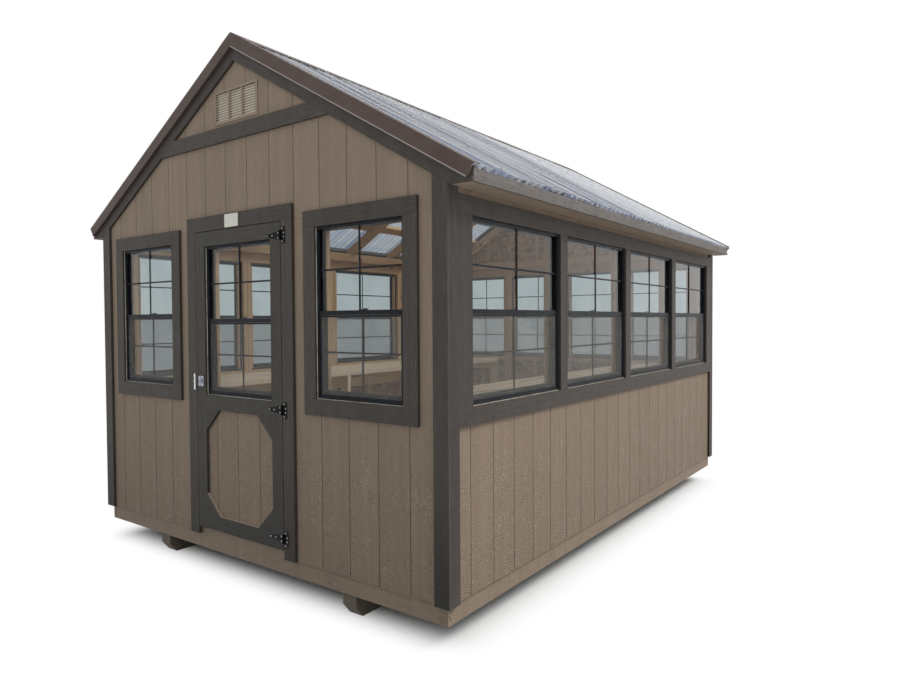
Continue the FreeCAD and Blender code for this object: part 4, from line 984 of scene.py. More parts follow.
sheet_mesh = bmesh.new()
slope_place = sheet_mesh.verts.layers.float_vector.new("slope")
sheet_end = sheet_mesh.faces.layers.float.new("end")
for number, triangles in enumerate(solids_of("roof_sheets")):
    points = {}
    flip = Matrix.Diagonal((1 if triangles[0][0][0] > 0 else -1, 1, 1))
    for corners in triangles:
        for corner in corners:
            if corner not in points:
                vert = points[corner] = sheet_mesh.verts.new(corner)
                away = flip @ vert.co
                vert[slope_place] = (away.dot(SLOPE_DOWN) + number, away.y + roof_end, 0)
        if len(set(corners)) == len(corners):
            face = sheet_mesh.faces.new([points[corner] for corner in corners])
            face.normal_update()
            face[sheet_end] = float(abs((flip @ face.normal).dot(SLOPE_DOWN)) > FACING)
sheet_mesh.normal_update()
for edge in sheet_mesh.edges:
    edge.smooth = not (edge.is_manifold and edge.calc_face_angle() > SHARP_ANGLE)
clear_roofing = make_clear_roofing()
roof_piece = new_piece("clear_roof_sheets", sheet_mesh, smooth=False)
for polygon in roof_piece.data.polygons:
    polygon.use_smooth = True
fit(roof_piece, clear_roofing, "clear_roofing", "building", "roof_sheets")

# Roofing screws: hex-headed zinc screws with grey rubber washers, driven through the crests into a purlin.
# They stand on every fourth wave, and the same screws hold the ridge capping.
WAVES_PER_SHEET = 9
SCREW_EVERY = 4
CREST_TURN = 0.25
CREST_LIFT = 0.0186
LAP_LIFT = 0.0022
RIDGE_CLEAR = 0.1
TOUCHING = 0.001
WASHER_RADIUS = 0.0075
WASHER_THICK = 0.00144
HEAD_SIDES = 6
HEAD_RADIUS = 0.0052
HEAD_HEIGHT = 0.0048
HEAD_CHAMFER = 0.0008
FLANGE_RADIUS = 0.00676
FLANGE_EDGE = 0.0009
FLANGE_THICK = 0.0012

zinc = mix = Finish("zinc")
flake = mix.cells(mix.spot(), 240)[0]
mix.give("Base Color", mix.blend(flake, tint(168, 170, 172), tint(205, 206, 204)))
mix.give("Roughness", mix.ramp(flake, 0.0, 1.0, 0.28, 0.48))
mix.give("Metallic", 1.0)
rubber = mottled(
    "washer_rubber", 180, 3.0, (0.4, 0.7), tint(168, 173, 182), tint(196, 200, 206),
    gloss=(0.3, 0.7, 0.6, 0.85),
)
washer_profile = [
    (0, 0), (WASHER_RADIUS, 0), (WASHER_RADIUS, WASHER_THICK / 2), (0.8 * WASHER_RADIUS, WASHER_THICK),
    (0, WASHER_THICK),
]
head_profile = [
    (0, 0), (FLANGE_RADIUS, 0), (FLANGE_RADIUS, FLANGE_EDGE), (HEAD_RADIUS, FLANGE_THICK),
    (HEAD_RADIUS, HEAD_HEIGHT - HEAD_CHAMFER), (0.82 * HEAD_RADIUS, HEAD_HEIGHT), (0, HEAD_HEIGHT),
]
head_mesh = bmesh.new()
washer_mesh = bmesh.new()


def add_screw(point, out):
    """Adds a hex-headed screw and its washer, standing on a point of the roof."""
    turned(washer_mesh, washer_profile, facing(point, out))
    turned(head_mesh, head_profile, facing(point + out * WASHER_THICK, out), HEAD_SIDES)


def slope_ways(side):
    """The directions out from the roof and down it, on one side."""
    out = Vector((side * SLOPE_OUT.x, 0, SLOPE_OUT.z))
    return out, Vector((side * SLOPE_DOWN.x, 0, SLOPE_DOWN.z))


def corners_of(triangles):
    return [Vector(corner) for triangle in triangles for corner in triangle]


for triangles in solids_of("roof_purlins"):
    corners = corners_of(triangles)
    out, down = slope_ways(1 if corners[0].x > 0 else -1)
    level = max(c.dot(out) for c in corners)
    top = [c for c in corners if c.dot(out) > level - TOUCHING]
    middle = Vector((sum(c.x for c in top) / len(top), 0, sum(c.z for c in top) / len(top)))
    if middle.z >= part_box("roof_purlins")[1].z - RIDGE_CLEAR:
        continue
    for crest in range(1 + SCREW_EVERY, WAVES_PER_SLOPE - 2, SCREW_EVERY):
        lift = CREST_LIFT + (crest // WAVES_PER_SHEET % 2) * LAP_LIFT
        spot = Vector((0, -roof_end + (crest + CREST_TURN) * wave, 0))
        add_screw(middle + out * lift + spot, out)

# Closures: strips of black foam cut to the waves, which keep insects and rain out. One lies on the lowest
# purlin of each slope under the sheets, and one on the sheets under each side of the ridge capping.
CLOSURE_WIDTH = 0.02
CLOSURE_STEPS = 8
SHEET_MIDDLE = 0.0087
SHEET_SWING = 0.0080
SHEET_THICK = 0.0012
FOAM_SWING = 0.92 * SHEET_SWING
FOAM_HEIGHT = 0.0215
RIDGE_CLOSURE = 0.116

foam = mottled(
    "closure_foam", 260, 3.0, (0.35, 0.7), tint(28, 29, 32), tint(58, 59, 62),
    gloss=(0.3, 0.7, 0.75, 0.95), relief=(0.0015, 0.6),
)


def wave_strip(mesh, edge, down, out, low, high):
    """Adds a foam strip that ends at an edge. Its bottom and top are heights that swing with the wave."""
    corners = [(0, low), (0, high), (-CLOSURE_WIDTH, high), (-CLOSURE_WIDTH, low)]
    rings = []
    for i in range(WAVES_PER_SLOPE * CLOSURE_STEPS + 1):
        turn = i / CLOSURE_STEPS
        spot = Vector((0, -roof_end + turn * wave, 0)) + edge
        swing = math.sin(2 * math.pi * turn)
        rings.append([mesh.verts.new(spot + down * d + out * level(swing)) for d, level in corners])
    loft(mesh, rings)


closure_mesh = bmesh.new()
purlin_corners = [v.co for v in frame["nodes"]["roof_purlins"].data.vertices]
for side in (-1, 1):
    out, down = slope_ways(side)
    level = max(c.dot(out) for c in purlin_corners)
    eave = max(c.dot(down) for c in purlin_corners)
    ridge = -level * SLOPE_OUT.x / SLOPE_OUT.z
    wave_strip(
        closure_mesh, out * level + down * eave, down, out,
        lambda swing: 0.0, lambda swing: SHEET_MIDDLE - SHEET_THICK / 2 + FOAM_SWING * swing,
    )
    wave_strip(
        closure_mesh, out * level + down * (ridge + RIDGE_CLOSURE), down, out,
        lambda swing: SHEET_MIDDLE + 1.5 * SHEET_THICK + SHEET_SWING * swing, lambda swing: FOAM_HEIGHT,
    )
fit(new_piece("wave_closures", closure_mesh, smooth=False), foam, "window_black", "building")

# Flashing: brown coated steel, bent in long lengths. The rake pieces fold over the ends of the roof sheets,
# turn out in a drip lip below and fold back to the rake boards. The ridge capping folds over the peak with
# hemmed edges, in three lapped lengths.
STEEL_THICK = 0.0010
LEAST_MITRE = 0.3
LIP_OUT = 0.005
LIP_DROP = 0.006
LIP_FOLD = 4
HEM_WIDTH = 0.012
HEM_GAP = 0.0022
HEM_FOLDS = (1, 6)
CAP_LENGTHS = 3
CAP_LAP = 0.06
CAP_STEP_DOWN = 0.0015
CAP_CREASE = 0.014
CAP_SCREW_MARGIN = 0.05
END_TAB = 0.0135

brown_metal = mix = Finish("brown_metal")
spot = mix.spot()
chalk = mix.ramp(mix.noise(spot, (5.0, 5.0, 14.0), 5.0), 0.35, 0.7)
film = mix.blend(mix.times(chalk, 0.35), tint(88, 74, 70), tint(106, 92, 88))
# Painted highlight: the marked folds, the rake's drip lip and the capping's hems, are painted pale as the
# light line along them.
pale_edges = mix.group(edge_wear_and_highlight, {"Amount": 0.8})["Wear And Highlight"]
mix.give("Base Color", mix.blend(pale_edges, film, tint(168, 158, 158)))
mix.give("Roughness", mix.ramp(mix.noise(spot, 60, 3.0), 0.3, 0.7, 0.34, 0.5))
mix.give("Specular IOR Level", 0.1)
mix.bump(mix.noise(spot, 3), 0.004, 0.25)


def bent_strip(mesh, profile, start, end, folds=()):
    """Adds a strip of sheet steel: a profile of points, given its thickness and run from a start to an end.

    It gives back the points of its first end, so that they can be cut to a slant.
    """
    mark = mesh.faces.layers.float["edge"]
    run = (end - start).normalized()
    points = [Vector(p) for p in profile]
    sides = ([], [])
    for i, point in enumerate(points):
        before = (point - points[i - 1]).normalized() if i else (points[1] - point).normalized()
        after = (points[i + 1] - point).normalized() if i + 1 < len(points) else before
        normal = (before + after).cross(run).normalized()
        stretch = STEEL_THICK / 2 / max(LEAST_MITRE, normal.dot(before.cross(run).normalized()))
        sides[0].append(point + normal * stretch)
        sides[1].append(point - normal * stretch)
    outline = sides[0] + sides[1][::-1]
    rings = [[mesh.verts.new(p + shift) for p in outline] for shift in (start, end)]
    for i, face in enumerate(loft(mesh, rings)):
        fold = i if i < len(points) else len(outline) - 2 - i
        face[mark] = float(fold in folds)
    return rings[0]


def new_strips():
    mesh = bmesh.new()
    mesh.faces.layers.float.new("edge")
    return mesh


flashing_mesh = new_strips()
for triangles in solids_of("rake_flashing"):
    corners = corners_of(triangles)
    out, down = slope_ways(1 if sum(c.x for c in corners) > 0 else -1)
    plumb = Vector((0, 1 if corners[0].y > 0 else -1, 0))
    peak = Vector((0, 0, max(c.z for c in corners)))
    reach = max(abs(c.x) for c in corners) / abs(down.x)
    outer = max(c.dot(plumb) for c in corners) - STEEL_THICK / 2
    inner = min(c.dot(plumb) for c in corners) + STEEL_THICK / 2
    high = -STEEL_THICK / 2
    low = min(c.dot(out) for c in corners) - peak.dot(out) + STEEL_THICK / 2
    shape = [
        (inner + HEM_WIDTH, high - HEM_GAP), (inner, high - HEM_GAP), (inner, high),
        (outer, high), (outer, low + LIP_DROP), (outer + LIP_OUT, low),
    ]
    profile = [plumb * a + out * b for a, b in shape]
    fold_back = [plumb * a + out * (low + LIP_DROP) for a in (outer - END_TAB, outer)]
    # The drip lip's fold is marked for its painted highlight.
    top_ring = bent_strip(flashing_mesh, profile, peak, peak + down * reach, folds=(LIP_FOLD,))
    top_ring += bent_strip(flashing_mesh, fold_back, peak, peak + down * reach)
    for vert in top_ring:
        vert.co -= down * (vert.co.x / down.x)
    foot = peak + down * (reach - STEEL_THICK / 2)
    tab = [plumb * a + out * high for a in (outer - STEEL_THICK / 2, outer - END_TAB)]
    bent_strip(flashing_mesh, tab, foot, foot + out * (low + LIP_DROP - high))
rake_flashings = new_piece("rake_flashings", flashing_mesh, smooth=False)
fit(rake_flashings, brown_metal, "brown_metal", "building", "rake_flashing")

cap_low, cap_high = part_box("ridge_cap")
cap_top = Vector((0, 0, cap_high.z - STEEL_THICK))
cap_reach = cap_high.x / SLOPE_DOWN.x
half_cap = [
    SLOPE_DOWN * (cap_reach - HEM_WIDTH) - SLOPE_OUT * HEM_GAP,
    SLOPE_DOWN * cap_reach - SLOPE_OUT * HEM_GAP,
    SLOPE_DOWN * cap_reach,
    SLOPE_DOWN * CAP_CREASE,
]
cap_crest = [Vector((0, 0, -CAP_CREASE * SLOPE_OUT.x / 2))]
mirror = Matrix.Diagonal((-1, 1, 1))
cap_profile = half_cap + cap_crest + [mirror @ p for p in reversed(half_cap)]
cap_step = (cap_high.y - cap_low.y) / CAP_LENGTHS
cap_mesh = new_strips()
for i in range(CAP_LENGTHS):
    start = cap_low.y + i * cap_step
    end = min(start + cap_step + CAP_LAP, cap_high.y)
    drop = (i % 2) * CAP_STEP_DOWN
    first = cap_top + Vector((0, start, -drop))
    last = cap_top + Vector((0, end, -drop))
    bent_strip(cap_mesh, cap_profile, first, last, HEM_FOLDS)
ridge_capping = new_piece("ridge_capping", cap_mesh, smooth=False)
fit(ridge_capping, brown_metal, "brown_metal", "building", "ridge_cap")

count = int((cap_high.y - cap_low.y) / (WAVES_PER_SHEET * wave / 2))
for y in spread(cap_low.y, cap_high.y, CAP_SCREW_MARGIN, count):
    for side in (-1, 1):
        out, down = slope_ways(side)
        point = cap_top + down * (cap_reach - 2 * HEM_WIDTH) + out * STEEL_THICK / 2 + Vector((0, y, 0))
        add_screw(point, out)
fit(new_piece("roof_screws", head_mesh), zinc, "steel", "building")
fit(new_piece("roof_washers", washer_mesh), rubber, "window_black", "building")

# Gable vents: a moulded plastic grille over a hole in each gable, with a border, two mullions and sloping
# louvres. The border is screwed to the siding and takes its paint. The louvres are painted far paler, as
# painted light from behind, and a net is stapled behind them against insects, painted pale as well.
VENT_EASE = 0.0006
VENT_BORDER = 0.018
VENT_NET_THICK = 0.0008
VENT_NET_PITCH = 0.003
VENT_NET_OPEN = 0.4

vent_lit_paint = mix = Finish("vent_lit_paint")
spot = mix.spot()
film = mix.ramp(mix.noise(spot, (22.0, 22.0, 40.0), 4.0), 0.35, 0.7, 0.0, 0.6)
# Painted light: the louvres are far paler than the siding, as if lit from behind.
colour = mix.blend(film, tint(238, 231, 221), tint(222, 213, 201))
worn = mix.group(edge_wear_and_highlight, {"Amount": 0.4})["Wear And Highlight"]
mix.give("Base Color", mix.blend(worn, colour, tint(236, 229, 219)))
mix.give("Roughness", mix.ramp(mix.noise(spot, 150), 0.3, 0.7, 0.4, 0.58))
mix.give("Specular IOR Level", 0.3)
vent_grilles = fit_boards("vent_grilles", "gable_vents", VENT_EASE, vent_lit_paint, "siding_paint")
siding_low, siding_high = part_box("front_siding")
refinish(vent_grilles, rim_paint, lambda p: abs(p.center.y) > abs(siding_low.y) - VENT_EASE / 4)


def make_net_weave():
    """Threads woven both ways. A mask is nothing on its threads and one in the gaps between them."""
    usual = {"Place": (0.0, 0.0, 0.0), "Pitch": 0.002, "Thread": 0.1, "Open": 0.3}
    mix, given, result = new_group("net_weave", usual, ("Across", "Upright"))
    pitch = given["Pitch"]
    for axis, title in (("X", "Across"), ("Y", "Upright")):
        beside = mix.sum_of("PINGPONG", mix.axis(given["Place"], axis), mix.times(pitch, 0.5))
        gap = mix.ramp(beside, mix.times(pitch, given["Thread"]), mix.times(pitch, given["Open"]))
        mix.feed(gap, result[title])
    return mix.tree


net_weave = make_net_weave()
vent_net = mix = Finish("vent_net")
spot = mix.spot()
lie = mix.add("CombineXYZ", {0: mix.axis(spot, "X"), 1: mix.axis(spot, "Z")}).outputs[0]
weave = mix.group(
    net_weave, {"Place": lie, "Pitch": VENT_NET_PITCH, "Thread": 0.0, "Open": VENT_NET_OPEN}
)
gap = mix.times(weave["Across"], weave["Upright"])
# Painted light: the net is a pale tan, standing in for light through the vent.
mix.give("Base Color", mix.blend(gap, tint(186, 174, 160), tint(150, 138, 124)))
mix.give("Alpha", mix.ramp(gap, 0.0, 1.0, 1.0, 0.8))
mix.give("Roughness", mix.ramp(gap, 0.0, 1.0, 0.6, 0.85))
vent_low, vent_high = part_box("gable_vents")
net_outline = box_outline(
    vent_low.x + VENT_BORDER, vent_high.x - VENT_BORDER, vent_low.z + VENT_BORDER, vent_high.z - VENT_BORDER
)
net_back = abs(siding_high.y) + VENT_NET_THICK / 2
net_mesh = bmesh.new()
net_levels = [(net_outline, 0), (net_outline, VENT_NET_THICK)]
for wall in (-1, 1):
    slab(net_mesh, net_levels, lambda u, w, d: Vector((u, wall * (net_back + d), w)))
fit(new_piece("vent_netting", net_mesh, smooth=False), vent_net, "insect_net", "building")

# Window frames: single-hung windows of black extruded vinyl. Each has a welded frame with parting beads, a
# fixed upper light with a grille and a meeting rail, and weep covers along its sill. Pine stops are nailed
# up its sides inside, and a bead of sealant closes the joint to the trim.
FRAME_EASE = 0.0016
BAR_EASE = 0.0018
BEAD_RADIUS = 0.003
BEAD_ANGLES = (0, 30, 60, 90)
WEEP_LENGTH = 0.032
WEEP_HEIGHT = 0.006
WEEP_PROUD = 0.002
WEEP_SHARE = 5
PIECES_PER_FRAME = 8
BARS_PER_FRAME = 6


def make_window_black():
    """Black vinyl: a fine moulded texture, wiped dust in patches, and paler blue-grey edges, partly wear
    and partly a painted highlight.
    """
    mix = Finish("window_black")
    spot = mix.spot()
    patches = mix.ramp(mix.noise(spot, (7.0, 7.0, 5.0), 4.0), 0.4, 0.75, 0.0, 0.3)
    film = mix.blend(patches, tint(16, 19, 25), tint(32, 35, 41))
    # Painted highlight: the eased edges are a paler blue-grey, as wear and as the light they catch.
    edge_paleness = mix.group(edge_wear_and_highlight, {"Amount": 0.35})["Wear And Highlight"]
    mix.give("Base Color", mix.blend(edge_paleness, film, tint(46, 52, 62)))
    mix.give("Roughness", mix.ramp(mix.noise(spot, 40, 3.0), 0.3, 0.7, 0.3, 0.46))
    mix.give("Specular IOR Level", 0.18)
    mix.bump(mix.noise(spot, 900), 0.0002, 0.4)
    return mix


def in_end_wall(low, high):
    return high.y - low.y < high.x - low.x


def wall_place(low, high):
    """For a thing that lies flat in a wall: its ends along the wall, and a place from its outer face."""
    if in_end_wall(low, high):
        out = Vector((0, 1 if high.y > 0 else -1, 0))
    else:
        out = Vector((1 if high.x > 0 else -1, 0, 0))
    along = UP.cross(out)
    ends = sorted((low.dot(along), high.dot(along)))
    face = max(low.dot(out), high.dot(out))

    def place(u, w, d):
        return along * u + UP * w + out * (face + d)

    return ends[0], ends[1], place


def sealant_bead(mesh, low, high):
    """Adds a bead of sealant along the sill of a window, in the corner between its frame and the trim.

    On the front wall, which takes the weather, it also runs up both sides.
    """
    left, right, place = wall_place(low, high)
    steps = [math.radians(angle) for angle in BEAD_ANGLES]
    profile = [(0, 0)] + [(BEAD_RADIUS * math.cos(a), BEAD_RADIUS * math.sin(a)) for a in steps]
    stations = [(left, low.z, 1, 1), (right, low.z, -1, 1)]
    if high.y < 0 and in_end_wall(low, high):
        stations = [(left, high.z, 1, 0), *stations, (right, high.z, -1, 0)]
    rings = []
    for u, w, u_in, w_in in stations:
        spots = [place(u + u_in * inset, w + w_in * inset, depth) for inset, depth in profile]
        rings.append([mesh.verts.new(spot) for spot in spots])
    loft(mesh, rings)


def weep_covers(mesh, low, high):
    """Adds the two small covers over the drain slots in a window's sill."""
    left, right, place = wall_place(low, high)
    level = low.z + BEAD_RADIUS + WEEP_PROUD
    top = level + WEEP_HEIGHT
    for middle in spread(left, right, (right - left) / WEEP_SHARE, 1):
        start = middle - WEEP_LENGTH / 2
        end = middle + WEEP_LENGTH / 2
        base = box_outline(start, end, level, top)
        lip = box_outline(start + WEEP_PROUD, end - WEEP_PROUD, level + WEEP_PROUD / 2, top - WEEP_PROUD)
        slab(mesh, [(rounded(base, WEEP_PROUD), 0), (rounded(lip, WEEP_PROUD / 2), WEEP_PROUD)], place)


window_black = make_window_black()
frame_solids = solids_of("window_frames")
windows = [frame_solids[i : i + PIECES_PER_FRAME] for i in range(0, len(frame_solids), PIECES_PER_FRAME)]
window_boxes = [box_of(window) for window in windows]
frame_bars = [bar for window in windows for bar in window[:BARS_PER_FRAME]]
frame_stops = [stop for window in windows for stop in window[BARS_PER_FRAME:]]
window_frame_bars = new_piece("window_frame_bars", eased(frame_bars, FRAME_EASE))
fit(window_frame_bars, window_black, "window_black", "building", "window_frames")
window_stops = sawn("window_stop_strips", frame_stops, LUMBER_EASE / 2)
fit(window_stops, pine, "pine", "building", "window_frames")
window_grilles = new_piece("window_grilles", eased(solids_of("window_bars"), BAR_EASE))
fit(window_grilles, window_black, "window_black", "building", "window_bars")

weep_mesh = bmesh.new()
bead_mesh = bmesh.new()
for low, high in window_boxes:
    weep_covers(weep_mesh, low, high)
    sealant_bead(bead_mesh, low, high)
fit(new_piece("window_weeps", weep_mesh), window_black, "window_black", "building")

sealant = mix = Finish("sealant")
grime = mix.ramp(mix.noise(mix.spot(), 14, 4.0), 0.4, 0.75)
mix.give("Base Color", mix.blend(grime, tint(214, 207, 195), tint(150, 141, 128)))
mix.give("Roughness", mix.ramp(grime, 0.0, 1.0, 0.4, 0.6))
fit(new_piece("window_sealant", bead_mesh), sealant, "trim_paint", "building")

# Panes: clear float glass set in the frames from inside, with its sharp edges taken off.
# Rain spots and wiping leave a faint film that only shows as a change in the gloss.
PANE_EASE = 0.0003

window_glass = mix = Finish("window_glass")
film = mix.ramp(mix.noise(mix.spot(), (5.0, 5.0, 3.0), 4.0), 0.45, 0.75)
mix.give("Base Color", mix.blend(film, tint(218, 225, 228), tint(208, 216, 220)))
mix.give("Roughness", mix.ramp(film, 0.0, 1.0, 0.0, 0.03))
mix.give("IOR", 1.45)
mix.give("Specular IOR Level", 0.15)
mix.give("Specular Tint", (0.3, 0.3, 0.3, 1.0))
mix.give("Transmission Weight", 1.0)
let_lamps_through(window_glass)
upper_light_panes = new_piece("upper_light_panes", eased(solids_of("upper_panes"), PANE_EASE))
fit(upper_light_panes, window_glass, "window_glass", "building", "upper_panes")

# Lower sashes: each slides up in its frame behind the meeting rail. Vinyl rails and stiles hold a pane and
# a grille, with a finger lift along the bottom rail and a cam lock on the top rail.
PANE = 4
LOCK_LENGTH = 0.056
LOCK_DEPTH = 0.016
LOCK_HEIGHT = 0.005
LOCK_CORNER = 0.005
LOCK_TOP_LENGTH = LOCK_LENGTH / 1.1
LOCK_TOP_DEPTH = LOCK_DEPTH / 1.2
LOCK_SET_BACK = 0.002
LEVER_LENGTH = 0.034
LEVER_HALF = 0.004
LEVER_CORNER = 0.0035


def centred(wide, tall):
    return box_outline(-wide / 2, wide / 2, -tall / 2, tall / 2)


def add_lock(mesh, low, high):
    """Adds a cam lock on the middle of a sash's top rail: a low base and a swung lever."""
    left, right, place = wall_place(low, high)
    depth = -LOCK_DEPTH / 2 - LOCK_SET_BACK

    def on_rail(u, w, d):
        return place((left + right) / 2 + u, high.z + d, depth + w)

    base = rounded(centred(LOCK_LENGTH, LOCK_DEPTH), LOCK_CORNER)
    top = rounded(centred(LOCK_TOP_LENGTH, LOCK_TOP_DEPTH), LOCK_CORNER)
    slab(mesh, [(base, 0), (base, 0.6 * LOCK_HEIGHT), (top, LOCK_HEIGHT)], on_rail)
    lever = rounded(box_outline(-LEVER_HALF, LEVER_LENGTH, -LEVER_HALF, LEVER_HALF), LEVER_CORNER)
    slab(mesh, [(lever, LOCK_HEIGHT), (lever, 1.9 * LOCK_HEIGHT)], on_rail)


def sash_pieces(node, body):
    """A sash as two pieces that slide together: its black bars with the lock, and its pane."""
    solids = solids_of(node)
    bars = eased(solids[:PANE] + solids[PANE + 1 :], FRAME_EASE)
    add_lock(bars, *box_of(solids[:PANE]))
    fit(new_piece(f"{body}_bars", bars), window_black, "window_black", body, node)
    pane = new_piece(f"{body}_pane", eased(solids[PANE : PANE + 1], PANE_EASE))
    fit(pane, window_glass, "window_glass", body, node)


for body in frame["bodies"]:
    if body.startswith("sash_"):
        sash_pieces(body.replace("sash_", "lower_sash_"), body)

# Insect screens: a rolled black frame over the lower half of each window, put in from outside by two tabs,
# with a fine charcoal net held in its groove by a spline. The net greys whatever is behind it.
NET_PITCH = 0.0018
NET_THREAD = 0.12
NET_OPEN = 0.3
TAB_WIDTH = 0.018
TAB_HEIGHT = 0.008
TAB_PROUD = 0.0022
TAB_CORNER = 0.0025
TAB_LIP_CORNER = 0.0015
TAB_SHARE = 3
TAB_LIFT = 0.001
SCREEN_SET_BACK = 0.004


def make_insect_net():
    """Woven threads both ways, see-through between them."""
    mix = Finish("insect_net")
    spot = mix.attribute("weave", "Vector")
    weave = mix.group(
        net_weave, {"Place": spot, "Pitch": NET_PITCH, "Thread": NET_THREAD, "Open": NET_OPEN}
    )
    gap = mix.sum_of("MINIMUM", weave["Across"], weave["Upright"])
    dust = mix.ramp(mix.noise(spot, (6.0, 4.0, 1.0), 4.0), 0.35, 0.75, 0.0, 0.5)
    mix.give("Base Color", mix.blend(dust, tint(126, 124, 121), tint(166, 162, 156)))
    mix.give("Alpha", mix.ramp(gap, 0.0, 1.0, 0.25, 0.08))
    mix.give("Roughness", mix.ramp(dust, 0.0, 0.5, 0.55, 0.8))
    return mix


def woven_net(name, node):
    """The nets of a CAD node, with the lie of their threads."""
    mesh = whole_faces(solids_of(node))
    lie = mesh.verts.layers.float_vector.new("weave")
    for vert in mesh.verts:
        vert[lie] = (vert.co.x + vert.co.y, vert.co.z, 0)
    return new_piece(name, mesh, smooth=False)


def add_tabs(mesh, low, high):
    """Adds two pull tabs to the bottom bar of a window's screen."""
    left, right, place = wall_place(low, high)
    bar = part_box("screen_frames")[0].z + TAB_LIFT
    top = bar + TAB_HEIGHT
    inset = TAB_PROUD / 2
    for middle in spread(left, right, (right - left) / TAB_SHARE, 1):
        base = box_outline(middle - TAB_WIDTH / 2, middle + TAB_WIDTH / 2, bar, top)
        lip = box_outline(middle - TAB_WIDTH / 3, middle + TAB_WIDTH / 3, bar + inset, top - inset)
        levels = [
            (rounded(base, TAB_CORNER), -SCREEN_SET_BACK),
            (rounded(lip, TAB_LIP_CORNER), TAB_PROUD - SCREEN_SET_BACK),
        ]
        slab(mesh, levels, place)


insect_net = make_insect_net()
screen_mesh = eased(solids_of("screen_frames"), FRAME_EASE)
for low, high in window_boxes:
    add_tabs(screen_mesh, low, high)
fit(new_piece("screen_bars", screen_mesh), window_black, "window_black", "building", "screen_frames")
fit(woven_net("screen_netting", "screen_nets"), insect_net, "insect_net", "building", "screen_nets")

# Benches: five two-by-four slats along each side wall on bearers, with a leg at the front of each bearer
# and a ledger on the studs behind. They are painted paler than the framing, as painted sunlight.
# Painted light: the benches' pine is a paler copy, standing in for the sun on them.
lit_bench_pine = bare_wood(
    "lit_bench_pine", tint(248, 228, 198), tint(218, 184, 144), tint(136, 94, 62),
    ring_width=0.0056, wander=0.016, knots=0.12, dust=0.0,
)
fit_boards("bench_slat_boards", "bench_slats", LUMBER_EASE, lit_bench_pine, "pine")
fit_boards("bench_frame_boards", "bench_frames", LUMBER_EASE, lit_bench_pine, "pine")

# Door: a sheet of the grooved siding with trim boards glued and nailed to its face as stiles, rails and
# corner blocks, so that the lower panel shows as an octagon. A pine frame stiffens it behind, and pine
# stops line the doorway.
UPWARD = 0.3
FOOT_CLEAR = 0.05
DOOR_PAINTED_SHADE = tint(48, 46, 43)

door_sheet = grooved_sheets("door_sheet", "door_panel", lambda p: TO_FRONT)
bare_back(fit(door_sheet, siding_paint, "siding_paint", "door", "door_panel"))
edge_dust_and_highlight = painted_board(
    "edge_dust_and_highlight", tint(172, 158, 143), tint(150, 136, 122), tint(192, 179, 164), roughness=0.5, dust=0.2
)
door_paint = painted_board(
    "door_paint", tint(68, 65, 60), tint(47, 45, 41), tint(95, 90, 84), roughness=0.5, dust=0.05
)
# Painted shade: the door boards that face the front darken towards the ground, as the trim does.
door_paint.cover(door_paint.group(painted_foot_shade)["Painted Shade"], DOOR_PAINTED_SHADE)
door_boards = fit_boards("door_face_boards", "door_boards", TRIM_EASE, door_paint, "trim_paint", "door")
block_high = box_of([solids_of("door_boards")[-2]])[1]
ledge_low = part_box("door_boards")[0].z + FOOT_CLEAR


def on_panel_edge(polygon):
    """Whether a face looks up from the octagon's lower edges, which take a painted highlight and dust."""
    spot = polygon.center
    inside = abs(spot.x) < block_high.x - TRIM_EASE and ledge_low < spot.z < block_high.z
    return inside and polygon.normal.z > UPWARD


# Painted highlight: the upward faces of the octagon's lower edges take a paler paint, with dust on it.
refinish(door_boards, edge_dust_and_highlight, on_panel_edge)
fit_boards("door_back_frame", "door_frame", LUMBER_EASE, pine, "pine", "door")
fit_boards("door_stop_strips", "door_stops", LUMBER_EASE, pine, "pine")

# Door window: the same single-hung window as in the walls, set in the door with its own sash and net.
# The sash rides with the door and slides up in it.
door_frame_solids = solids_of("door_window_frame")
door_window_box = box_of(door_frame_solids)
door_bars = new_piece("door_light_frame", eased(door_frame_solids[:BARS_PER_FRAME], FRAME_EASE))
fit(door_bars, window_black, "window_black", "door", "door_window_frame")
door_stop_pair = sawn("door_light_stops", door_frame_solids[BARS_PER_FRAME:], LUMBER_EASE / 2)
fit(door_stop_pair, pine, "pine", "door", "door_window_frame")
grille_mesh = eased(solids_of("door_window_bars"), FRAME_EASE)
weep_covers(grille_mesh, *door_window_box)
fit(new_piece("door_light_grille", grille_mesh), window_black, "window_black", "door", "door_window_bars")
door_pane = new_piece("door_light_pane", eased(solids_of("door_upper_pane"), PANE_EASE))
fit(door_pane, window_glass, "window_glass", "door", "door_upper_pane")
fit(woven_net("door_light_net", "door_screen_net"), insect_net, "insect_net", "door", "door_screen_net")
door_bead = bmesh.new()
sealant_bead(door_bead, *door_window_box)
fit(new_piece("door_light_sealant", door_bead), sealant, "trim_paint", "door")
sash_pieces("door_lower_sash", "door_sash")

# Hinges: three black T-strap hinges of stamped steel. A tapered strap is screwed across the door, a plate
# is screwed up the jamb, and their rolled knuckles turn on a loose pin. The screws are bright zinc.
LEAF_EASE = 0.0007
LEAF_GAP = 0.0005
STRAP_STEPS = (0.1, 0.46)
STRAP_TIP = 0.28
STRAP_CORNER = 0.005
ROOT_SCREW = 0.012
ROOT_SCREW_RISE = 0.55
PLATE_STEPS = (0.12, 0.38, 0.62, 0.88)
END_SCREW_SHARE = 0.3
MID_SCREW_SHARE = 0.62
JAMB_CORNER = 0.006
LUG_REACH = 0.004
LUG_THINNER = 0.1
HINGE_SCREW = 0.004
KNUCKLE_SIDES = 32
KNUCKLE_GAP = 0.0003
BORE_PLAY = 0.00005
PIN_CAP = 0.0012
PIN_SIDES = 24


